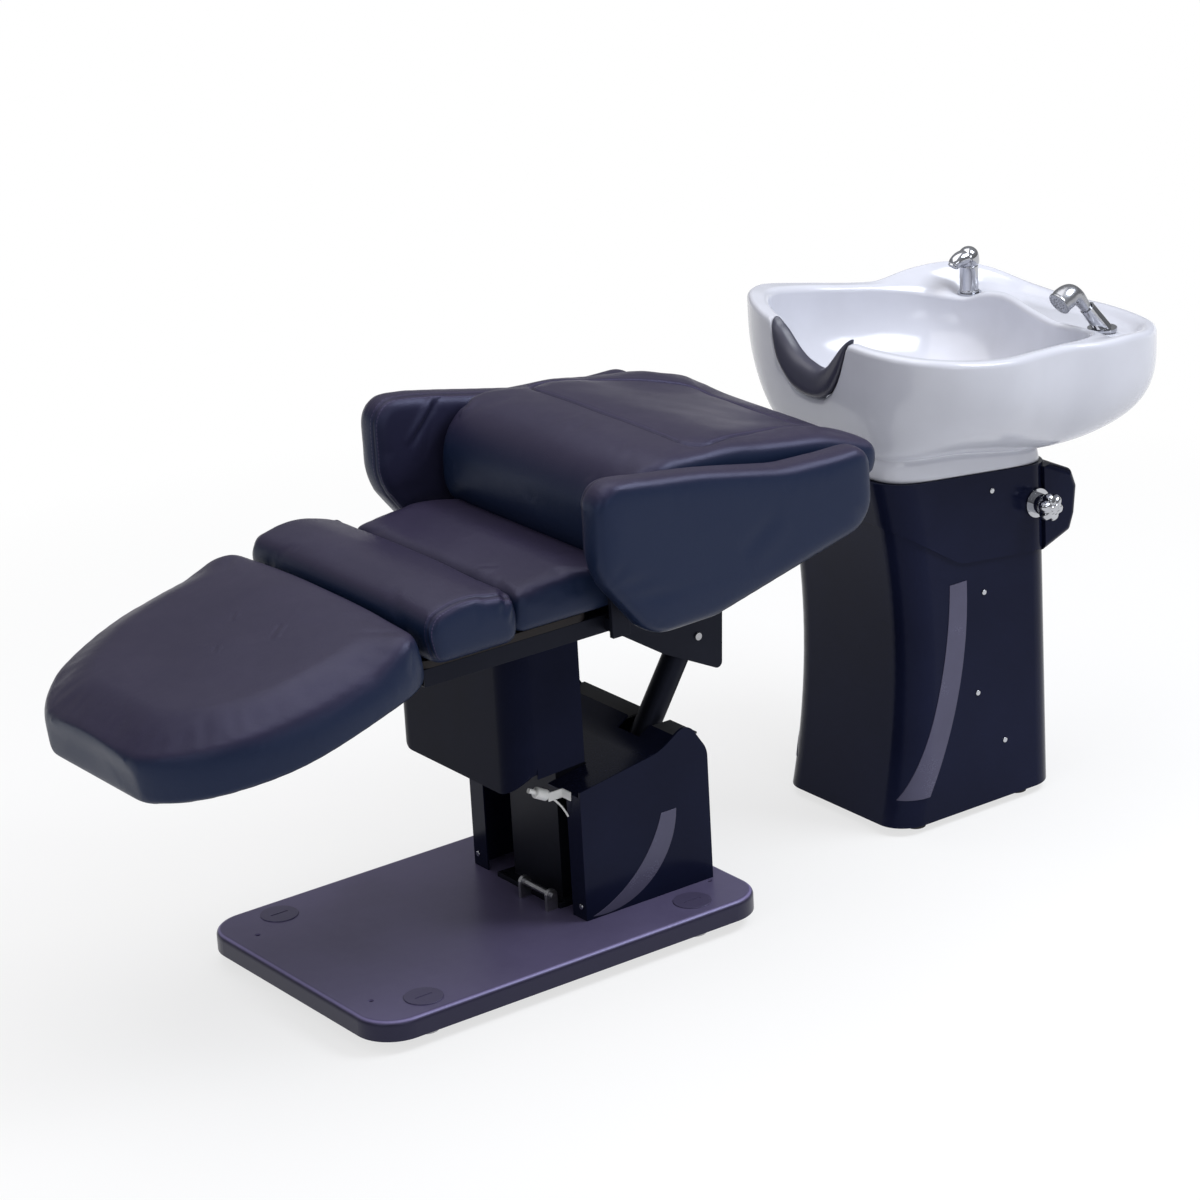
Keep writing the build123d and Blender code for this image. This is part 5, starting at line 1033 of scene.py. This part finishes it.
# neck notch, as the lower and the upper edge of its crescent pad: (distance from the middle, height)
CRESCENT_LOW = [(101, 828), (99, 812), (94, 791), (82, 762), (53, 733), (29, 723), (5, 720),
                (-22, 724), (-44, 739), (-60, 760), (-71, 781), (-80, 806), (-87, 829)]
CRESCENT_HIGH = [(101, 829), (94, 819), (83, 809), (62, 787), (43, 774), (25, 768), (7, 764),
                 (-9, 765), (-26, 775), (-43, 792), (-60, 810), (-75, 823), (-87, 830)]


def rim_plane(x):
    """Height of the sloping rim plane over the floor at a station."""
    return FRONT_HEIGHT - RIM_FALL * (x - RIM_PLAN[0][0])


def outline_reach(points, middle, angles):
    """Distance from the middle to a closed smooth outline at each angle: the Catmull-Rom curve
    through the points, read off by its angle about the middle."""
    points = np.array(points, float) - middle
    dense = smooth_line(np.vstack([points[-2:], points, points[:3]]), 20)
    turn = np.unwrap(np.arctan2(dense[:, 1], dense[:, 0]))
    reach = np.linalg.norm(dense, axis=1)
    order = np.argsort(turn % (2 * np.pi))
    return np.interp(angles, (turn % (2 * np.pi))[order], reach[order], period=2 * np.pi)


def rise_at(table, angles):
    """Height table read off by angle, rounded by a bell 4 degrees wide."""
    table = np.array(table, float)
    spread = np.radians(np.linspace(-9, 9, 13))
    weights = np.exp(-(spread / np.radians(4)) ** 2)
    read = np.interp((angles[None] + spread[:, None]) % (2 * np.pi), np.radians(table[:, 0]), table[:, 1],
                     period=2 * np.pi)
    return (read * weights[:, None]).sum(0) / weights.sum()


def notch_height(y):
    """Height of the neck notch at a distance from the middle: the pad's lower edge read off as a
    table, less the pad's bed, with sides that go on upwards at their own slope."""
    table = np.array(CRESCENT_LOW[::-1], float)
    ends = np.vstack([[-96.0, 880.0], table, [110.0, 880.0]])
    return np.interp(y, ends[:, 0], ends[:, 1]) - 1.0


def soft_least(a, b, k):
    """The lesser of two heights, rounded over k where they meet."""
    h = np.clip(0.5 + 0.5 * (b - a) / k, 0, 1)
    return b + (a - b) * h - k * h * (1 - h)


def edge_drop(distance, radius):
    """Quarter-round edge: how far the surface lies under its top at a distance from the edge."""
    inner = np.clip(radius - distance, 0, radius)
    return radius - np.sqrt(np.maximum(radius ** 2 - inner ** 2, 0))


def basin_rows():
    """All rings of the basin, from the foot over the outside, the rim and the bowl to the drain, and
    back under the bowl. Each ring is a closed line; its plan is read off by angle, and its height is
    the rim plane's less a drop."""
    sizes = bpy.context.scene.bed_basin
    angles = np.linspace(0, 2 * np.pi, sizes.columns, endpoint=False)
    ways = np.stack([np.cos(angles), np.sin(angles)], 1)
    rim = BOWL_MIDDLE + ways * outline_reach(RIM_PLAN, BOWL_MIDDLE, angles)[:, None]
    lip = BOWL_MIDDLE + ways * outline_reach(LIP_PLAN, BOWL_MIDDLE, angles)[:, None]
    foot_reach = (np.abs(ways[:, 0] / FOOT_HALF[0]) ** FOOT_POWER
                  + np.abs(ways[:, 1] / FOOT_HALF[1]) ** FOOT_POWER) ** (-1 / FOOT_POWER)
    foot = FOOT_MIDDLE + ways * foot_reach[:, None]
    rim_rise = rise_at(RIM_RISE, angles)
    lip_rise = rise_at(LIP_RISE, angles)
    edge = sizes.edge_round
    rear = np.clip((ways[:, 0] + 0.35) / 1.2, 0, 1)
    rear = rear * rear * (3 - 2 * rear)
    crease = BASIN_DEPTH - FOOT_FLARE + 13.0 * rear

    def wall_plan(drop):
        share = np.clip(drop / crease, 0, 1)
        mix = 1 - (1 - share ** (2.6 + 1.5 * rear)) ** (0.75 - 0.08 * rear)
        return rim + (foot * 0.975 + FOOT_MIDDLE * 0.025 - rim) * mix[:, None]

    def bowl_size(drop):
        share = np.clip(drop / BOWL_DEPTH, 0, 1)
        return (1 - share ** BOWL_POWER) ** (1 / BOWL_POWER)

    def bowl_plan(size):
        return BOWL_MIDDLE + (lip - BOWL_MIDDLE) * size[:, None]

    def ring(plan, height):
        return np.column_stack([plan, height])

    def foot_ring(scale, drop, middle=FOOT_MIDDLE):
        plan = middle + (foot - middle) * scale
        return ring(plan, rim_plane(plan[:, 0]) - drop)

    front = np.cos(angles) < 0
    outer, inner = rim, lip
    for _ in range(4):
        cut_outer = np.where(front, notch_height(outer[:, 1]), NO_CUT)
        cut_inner = np.where(front, notch_height(inner[:, 1]), NO_CUT)
        outer_top = soft_least(rim_plane(outer[:, 0]) + rim_rise, cut_outer, CUT_ROUND)
        inner_top = soft_least(rim_plane(inner[:, 0]) + lip_rise, cut_inner, CUT_ROUND)
        outer = wall_plan(rim_plane(outer[:, 0]) - outer_top + edge)
        inner = bowl_plan(bowl_size(rim_plane(inner[:, 0]) - inner_top + edge))

    rows = [foot_ring(0.965, BASIN_DEPTH), foot_ring(0.992, BASIN_DEPTH - 0.4)]
    for scale, drop in ((1.0, 2.5), (0.998, 8), (0.993, 18), (0.988, 26), (0.984, 30.5), (0.977, 33.0),
                        (0.974, 36.0)):
        rows.append(foot_ring(scale, BASIN_DEPTH - drop * (BASIN_DEPTH - crease) / FOOT_FLARE))
    # outside wall, from the crease over the foot to the rim's edge; rings crowd towards the crease
    high_drop = rim_plane(outer[:, 0]) - outer_top + edge
    for share in np.linspace(0, 1, 44):
        drop = crease + (high_drop - crease) * (0.35 * share + 0.65 * share ** 2)
        plan = wall_plan(drop)
        rows.append(ring(plan, rim_plane(plan[:, 0]) - drop))
    # rim, deck and lip
    width = np.linalg.norm(outer - inner, axis=1)
    dish = sizes.dish * np.clip((width - 45) / 70, 0, 1) ** 1.2
    for share in 0.5 - 0.5 * np.cos(np.linspace(0, np.pi, 44)):
        plan = outer + (inner - outer) * share
        rise = rim_rise + (lip_rise - rim_rise) * np.clip((share - 0.08) / 0.84, 0, 1)
        flat = np.clip((share * width - 16) / 26, 0, 1) * np.clip(((1 - share) * width - 10) / 30, 0, 1)
        flat = flat * flat * (3 - 2 * flat)
        top = rim_plane(plan[:, 0]) + rise - dish * flat
        for spot in FLATS:
            near = np.exp(-(np.linalg.norm(plan - np.array(spot), axis=1) / 30.0) ** 4)
            top = top + (rim_plane(plan[:, 0]) - FLAT_DROP - top) * near
        cut = np.where(front, notch_height(plan[:, 1]), NO_CUT)
        top = soft_least(top, cut, CUT_ROUND)
        top = top - edge_drop(share * width, edge) - edge_drop((1 - share) * width, edge)
        rows.append(ring(plan, top))
    # bowl
    start = np.clip((rows[-1][:, 2] * -1 + rim_plane(rows[-1][:, 0])) / BOWL_DEPTH, 0, 0.98)
    first = np.arcsin(start ** 1.3)
    drain = DRAIN_RADIUS / np.linalg.norm(lip - BOWL_MIDDLE, axis=1)
    last = np.arccos(drain ** 1.3)
    lift = rows[-1][:, 2] - rim_plane(rows[-1][:, 0]) + BOWL_DEPTH * start
    for share in np.linspace(0, 1, 42)[1:]:
        turn = first + (last - first) * share
        plan = bowl_plan(np.cos(turn) ** (2 / BOWL_POWER))
        drop = BOWL_DEPTH * np.sin(turn) ** (2 / BOWL_POWER)
        rows.append(ring(plan, rim_plane(plan[:, 0]) - drop + lift * (1 - share) ** 3))
    # drain, underside of the bowl and hollow of the foot
    low = rim_plane(BOWL_MIDDLE[0]) - UNDER_BOWL
    drain_plan = BOWL_MIDDLE + ways * DRAIN_RADIUS
    rows.append(ring(drain_plan, np.full(len(ways), low + 3.0)))
    rows.append(ring(drain_plan + ways * 2.0, rim_plane(drain_plan[:, 0]) - UNDER_BOWL))
    for scale, drop in ((0.80, UNDER_BOWL), (0.835, 174.0), (0.845, 180.0), (0.85, 208.0),
                        (0.86, BASIN_DEPTH)):
        rows.append(foot_ring(scale, drop))
    return np.stack(rows)


class BED_OT_basin(bpy.types.Operator):
    """Glazed basin with its rim, deck, bowl and foot"""
    bl_idname = "bed.basin"
    bl_label = "Basin"

    def execute(self, context):
        obj = new_object("basin_bowl", surface("basin_bowl", at(basin_rows()), closed_rows=True))
        obj.data.materials.append(finish("white_ceramic"))
        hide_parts("basin")
        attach(obj, "base")
        return {"FINISHED"}


class BED_OT_neck_rest(bpy.types.Operator):
    """Crescent pad in the neck notch"""
    bl_idname = "bed.neck_rest"
    bl_label = "Neck rest"

    def execute(self, context):
        obj = new_object("neck_pad", surface("neck_pad", at(neck_rows()), caps=(True, True)))
        obj.data.materials.append(finish("soft_dark"))
        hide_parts("neck_rest")
        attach(obj, "base")
        return {"FINISHED"}


def even_line(points, count):
    """Smooth curve through the points, read off at even steps of its length."""
    line = smooth_line(np.array(points, float), 12)
    run = np.concatenate([[0], np.cumsum(np.linalg.norm(np.diff(line, axis=0), axis=1))])
    steps = np.linspace(0, run[-1], count)
    return np.stack([np.interp(steps, run, line[:, axis]) for axis in range(line.shape[1])], -1)


def neck_rows():
    """Rings of the crescent pad. Each ring joins a point of the notch's lower edge to a point of the
    pad's upper edge and is a rounded rectangle whose depth shrinks to the two tips."""
    count = 111
    low = even_line(CRESCENT_LOW, count)
    high = even_line(CRESCENT_HIGH, count)
    turn = np.linspace(-1, 1, count)
    tip = np.sqrt(np.clip(1 - np.abs(turn) ** 3, 0, 1))
    depth = 2.5 + 14.0 * tip
    angle = np.linspace(0, 2 * np.pi, 44, endpoint=False)
    around = np.sign(np.cos(angle)) * np.abs(np.cos(angle)) ** 0.72
    upright = np.sign(np.sin(angle)) * np.abs(np.sin(angle)) ** 0.72
    x = (1051.0 + depth[:, None] * around[None] + 7.0 * tip[:, None] * upright[None])
    middle, half = (low + high) / 2, (high - low) / 2
    y = middle[:, 0:1] + half[:, 0:1] * upright[None]
    z = middle[:, 1:2] + half[:, 1:2] * upright[None]
    return np.stack([x, y, z], -1)


# Fittings

class BED_OT_fittings(bpy.types.Operator):
    """Spout, hand shower and mixer knob"""
    bl_idname = "bed.fittings"
    bl_label = "Fittings"

    def execute(self, context):
        for obj, source, body, slot in ((make_spout(), "spout", "spout", "chrome"),
                                        (make_shower(), "hand_shower", "shower", "satin_chrome"),
                                        (make_knob(), "mixer_handle", "handle", "chrome")):
            obj.data.materials.append(finish(slot))
            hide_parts(source)
            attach(obj, body)
        return {"FINISHED"}


def metres(profile):
    """Millimetres as metres, for lengths and radii."""
    return np.array(profile, float) * MM


def make_spout():
    """Stout pillar with a ringed, domed head and a short nozzle to the foot end."""
    low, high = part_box("spout")
    seat_low, seat_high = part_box("spout_base")
    middle = Vector(((seat_low.x + seat_high.x) / 2, (seat_low.y + seat_high.y) / 2, low.z))
    tall = (high.z - low.z) / MM + 14.0
    radius = 15.5
    pillar = turned("pillar", metres([(0, radius), (1.0, radius * 1.05), (tall * 0.05, radius * 1.05),
                                      (tall * 0.07, radius), (tall * 0.56, radius),
                                      (tall * 0.575, radius * 0.93), (tall * 0.60, radius * 0.93),
                                      (tall * 0.615, radius * 1.10),
                                      (tall * 0.74, radius * 1.14), (tall * 0.88, radius * 0.98),
                                      (tall * 0.965, radius * 0.55), (tall, 0.1)]), middle, (0, 0, 1))
    start = np.array(middle) + metres([0, 0, tall * 0.77])
    path = [start, start + metres([-radius * 0.7, 0, 0]), start + metres([-radius * 1.3, 0, -1]),
            start + metres([-radius * 1.8, 0, -4]), start + metres([-radius * 2.15, 0, -9])]
    nozzle = carried("nozzle", path, metres([radius * 0.86, radius * 0.86, radius * 0.80, radius * 0.70,
                                             radius * 0.60]), squash=1.1)
    mouth = turned("mouth", metres([(-2, radius * 0.52), (1.2, radius * 0.58), (2.6, radius * 0.56),
                                    (3.0, radius * 0.42), (1.4, radius * 0.36), (1.3, 0.1)]),
                   path[-1], (-0.62, 0, -0.78), sides=40)
    return new_object("spout_tap", join_meshes("spout_tap", [pillar, nozzle, mouth]))


SHOWER_BASE = np.array([1528.0, -136.0, 753.0])
SHOWER_WAY = np.array([-0.5749, 0.1222, 0.8090])


def make_shower():
    """Grip in the sleeve that bends over into a wide head facing down to the bowl."""
    foot, way = SHOWER_BASE, SHOWER_WAY
    path = [foot + way * 8, foot + way * 30, foot + way * 50, foot + way * 62,
            foot + way * 76 + [-2, 0, 0], foot + way * 84 + [-10, 0, -1], foot + way * 86 + [-20, 0, -6],
            foot + way * 86 + [-31, 0, -12]]
    radii = [8.6, 8.8, 9.2, 10.5, 13.5, 17.5, 19.5, 19.0]
    body = carried("grip", at(path), metres(radii), sides=56, squash=1.05)
    end = at(path[-1])
    face_way = np.array([-0.87, 0.0, -0.49])
    face = turned("face", metres([(-2.5, 19.6), (1.0, 20.2), (3.0, 19.0), (3.4, 16.4), (2.2, 15.4),
                                  (2.6, 7.0), (2.7, 0.1)]), end, face_way, sides=56)
    studs = []
    across = np.cross(face_way, [0, 1, 0])
    for count, reach, number in [(6, 4.6, n) for n in range(6)] + [(12, 10.0, n) for n in range(6, 18)]:
        turn = 2 * math.pi * number / count
        spot = end + face_way * 2.4 * MM + (across * math.cos(turn)
                                            + np.array([0, 1, 0]) * math.sin(turn)) * reach * MM
        profile = metres([(0, 1.15), (0.9, 1.0), (1.3, 0.1)])
        studs.append(turned("stud", profile, spot, face_way, sides=10))
    return new_object("shower_head", join_meshes("shower_head", [body, face] + studs))


def make_knob():
    """Fluted knob on the near side of the pedestal."""
    low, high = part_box("mixer_handle")
    flange_low, flange_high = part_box("mixer_flange")
    centre = ((flange_low.x + flange_high.x) / 2, high.y, (flange_low.z + flange_high.z) / 2)
    reach = (high.y - low.y) / MM
    wide = (flange_high.x - flange_low.x) / 2 / MM
    profile = [(0, wide * 0.62), (reach * 0.10, wide * 0.60), (reach * 0.16, wide * 0.66),
               (reach * 0.22, wide * 0.86), (reach * 0.42, wide * 0.98), (reach * 0.68, wide * 0.93),
               (reach * 0.86, wide * 0.74), (reach * 0.93, wide * 0.52), (reach * 0.945, wide * 0.44),
               (reach * 0.93, wide * 0.36), (reach * 0.985, wide * 0.26), (reach, 0.1)]
    knob = turned("knob", metres(profile), centre, (0, -1, 0), sides=96, lobes=6, depth=0.22,
                  from_share=reach * 0.16 * MM)
    return new_object("mixer_knob", knob)


# Carried-over solids

SOFT_EDGES = {"box_cheek_near": 1.6, "box_cheek_far": 1.6, "box_top": 0.9, "box_back": 0.9,
              "pedestal_shell": 1.4, "pedestal_collar": 1.4, "pedestal_top": 1.0, "skirt": 1.1,
              "mast": 0.8, "column": 0.8, "levers": 0.9, "seat_board": 0.8,
              "leg_board": 0.8, "back_board": 0.8, "back_frame": 0.9, "seat_frame": 0.9,
              "plug_and_lead": 0.5, "mixer_flange": 0.7, "spout_base": 0.7, "shower_holder": 0.6,
              "strut_tube": 0.8, "strut_foot_ears": 0.6, "lift_motor": 1.0, "box_trim": 0.3,
              "pedestal_trim": 0.4, "foot_caps": 0.4, "seat_hinge_plates": 0.8}

# nodes whose own finish differs from their slot's
OTHER_FINISH = {"foot_caps": "cap_navy", "skirt": "skirt_satin"}


def soften_edges(obj, width):
    """Rounds a solid's sharp edges: its triangles are welded, edges that turn more than 35 degrees
    get a rounded bevel, and the normals are weighted by face."""
    weld = obj.modifiers.new("weld", "WELD")
    weld.merge_threshold = 1e-5
    bevel = obj.modifiers.new("edges", "BEVEL")
    bevel.width = width * MM
    bevel.segments = 2
    bevel.limit_method = "ANGLE"
    bevel.angle_limit = math.radians(35)
    bevel.use_clamp_overlap = True
    weighted = obj.modifiers.new("normals", "WEIGHTED_NORMAL")
    weighted.keep_sharp = False
    weighted.weight = 60


class BED_OT_finishes(bpy.types.Operator):
    """Finishes and softened edges of the pieces that keep their solid's shape"""
    bl_idname = "bed.finishes"
    bl_label = "Finishes"

    def execute(self, context):
        for row in frame["record"]["subparts"]:
            name, obj = row["node"], nodes[row["node"]]
            if obj.hide_render:
                continue
            obj.data.materials.clear()
            obj.data.materials.append(finish(OTHER_FINISH.get(name, row["material_slot"])))
            if name in SOFT_EDGES:
                soften_edges(obj, SOFT_EDGES[name])
        return {"FINISHED"}


# Stage

def area_lamp(name, place, target, size, watts, colour):
    """Square soft lamp that faces a point."""
    light = bpy.data.lights.new(name, "AREA")
    light.shape = "RECTANGLE"
    light.size, light.size_y = size
    light.energy = watts
    light.color = colour
    obj = bpy.data.objects.new(name, light)
    bpy.context.scene.collection.objects.link(obj)
    obj.location = place
    obj.rotation_euler = (Vector(target) - Vector(place)).to_track_quat("-Z", "Y").to_euler()
    return obj


# name, place, the point it faces, size, watts, colour
LAMPS = [
    ("overhead_box", (-0.3, 0.3, 3.2), (-0.1, 0.1, 0.5), (3.4, 2.4), 52.0, (1.0, 0.985, 0.98)),
    ("key_box", (1.65, -1.25, 2.8), (0.0, -0.1, 0.6), (1.3, 1.3), 66.0, (0.90, 0.94, 1.0)),
    ("left_box", (-3.4, -1.2, 2.0), (-0.2, 0.0, 0.5), (1.2, 1.2), 12.0, (0.92, 0.95, 1.0)),
    ("front_box", (-0.6, -4.4, 1.8), (0.2, 0.0, 0.4), (2.2, 1.0), 19.0, (0.95, 0.97, 1.0))]


def floor_material():
    """Pale floor that is white to the camera and in reflections, and keeps a faint shadow."""
    made = bpy.data.materials.new("studio_floor")
    made.use_nodes = True
    tree = made.node_tree
    tree.nodes.clear()
    noise = object_noise(tree, 0.8, 2.0)
    tone = blend(tree, noise, (0.87, 0.87, 0.88, 1.0), (0.90, 0.90, 0.90, 1.0))
    plain = node(tree, "ShaderNodeBsdfDiffuse", {"Color": tone}).outputs[0]
    glow = node(tree, "ShaderNodeEmission", {"Color": WHITE, "Strength": 1.0}).outputs[0]
    path = node(tree, "ShaderNodeLightPath")
    seen = maths(tree, "MAXIMUM", path.outputs["Is Camera Ray"], path.outputs["Is Glossy Ray"])
    seen = maths(tree, "MAXIMUM", seen, path.outputs["Is Transmission Ray"])
    reach = node(tree, "ShaderNodeVectorMath", {0: node(tree, "ShaderNodeTexCoord").outputs["Object"]},
                 operation="LENGTH").outputs["Value"]
    share = maths(tree, "MULTIPLY", seen, ramp(tree, reach, 1.1, 2.4, 0.70, 1.0))
    mixed = node(tree, "ShaderNodeMixShader", {0: share, 1: plain, 2: glow}).outputs[0]
    output = tree.nodes.new("ShaderNodeOutputMaterial")
    tree.links.new(mixed, output.inputs["Surface"])
    return made


class BED_OT_stage(bpy.types.Operator):
    """Floor, soft studio light and the camera at the photograph's angle"""
    bl_idname = "bed.stage"
    bl_label = "Stage"

    def execute(self, context):
        scene = context.scene
        sizes = scene.bed_stage
        scene.view_settings.view_transform = "Standard"
        half = sizes.floor_size / 2
        mesh = bpy.data.meshes.new("studio_floor")
        mesh.from_pydata([(-half, -half, 0), (half, -half, 0), (half, half, 0), (-half, half, 0)], [],
                         [(0, 1, 2, 3)])
        mesh.materials.append(floor_material())
        new_object("studio_floor", mesh)
        world = bpy.data.worlds.new("studio")
        scene.world = world
        world.use_nodes = True
        tree = world.node_tree
        tree.nodes.clear()
        up = node(tree, "ShaderNodeSeparateXYZ",
                  {0: node(tree, "ShaderNodeTexCoord").outputs["Generated"]}).outputs[2]
        horizon = ramp(tree, up, 0.02, 0.30, 0.20, 0.34)
        zenith = ramp(tree, up, 0.35, 0.90, 0.0, 0.16)
        sky = node(tree, "ShaderNodeBackground", {"Color": (0.96, 0.97, 1.0, 1.0),
                                                  "Strength": maths(tree, "ADD", horizon, zenith)})
        output = tree.nodes.new("ShaderNodeOutputWorld")
        tree.links.new(sky.outputs[0], output.inputs["Surface"])
        for lamp in LAMPS:
            area_lamp(*lamp)
        turn, lift = sizes.azimuth, sizes.elevation
        back = Vector((math.sin(turn) * math.cos(lift), -math.cos(turn) * math.cos(lift), math.sin(lift)))
        right = Vector((math.cos(turn), math.sin(turn), 0.0))
        up_way = back.cross(right)
        rolled_right = math.cos(sizes.roll) * right + math.sin(sizes.roll) * up_way
        rolled_up = -math.sin(sizes.roll) * right + math.cos(sizes.roll) * up_way
        data = bpy.data.cameras.new("photo_camera")
        data.sensor_width = 36.0
        data.lens = sizes.lens
        data.clip_end = 200.0
        camera = bpy.data.objects.new("photo_camera", data)
        scene.collection.objects.link(camera)
        rotation = Matrix((rolled_right, rolled_up, back)).transposed().to_4x4()
        camera.matrix_world = Matrix.Translation(Vector(sizes.camera_place)) @ rotation
        scene.camera = camera
        return {"FINISHED"}


OPERATORS = (BED_OT_stage, BED_OT_cushions, BED_OT_basin, BED_OT_neck_rest, BED_OT_fittings,
             BED_OT_finishes)
SETTINGS = {"bed_cushions": BedCushionSettings, "bed_basin": BedBasinSettings,
            "bed_colours": BedColourSettings, "bed_stage": BedStageSettings}


class BED_PT_panel(bpy.types.Panel):
    """Lists the pieces of the washing bed"""
    bl_idname = "BED_PT_panel"
    bl_label = "Washing Bed"
    bl_space_type = "VIEW_3D"
    bl_region_type = "UI"
    bl_category = "Washing Bed"

    def draw(self, context):
        for operator in OPERATORS:
            self.layout.operator(operator.bl_idname)


def register():
    for made in (*SETTINGS.values(), *OPERATORS, BED_PT_panel):
        bpy.utils.register_class(made)
    for name, made in SETTINGS.items():
        setattr(bpy.types.Scene, name, bpy.props.PointerProperty(type=made))


def unregister():
    for name in SETTINGS:
        delattr(bpy.types.Scene, name)
    for made in (BED_PT_panel, *reversed(OPERATORS), *reversed(list(SETTINGS.values()))):
        bpy.utils.unregister_class(made)


def main():
    register()
    bpy.ops.bed.stage()
    bpy.ops.bed.cushions()
    bpy.ops.bed.basin()
    bpy.ops.bed.neck_rest()
    bpy.ops.bed.fittings()
    bpy.ops.bed.finishes()


if __name__ == "__main__":
    main()
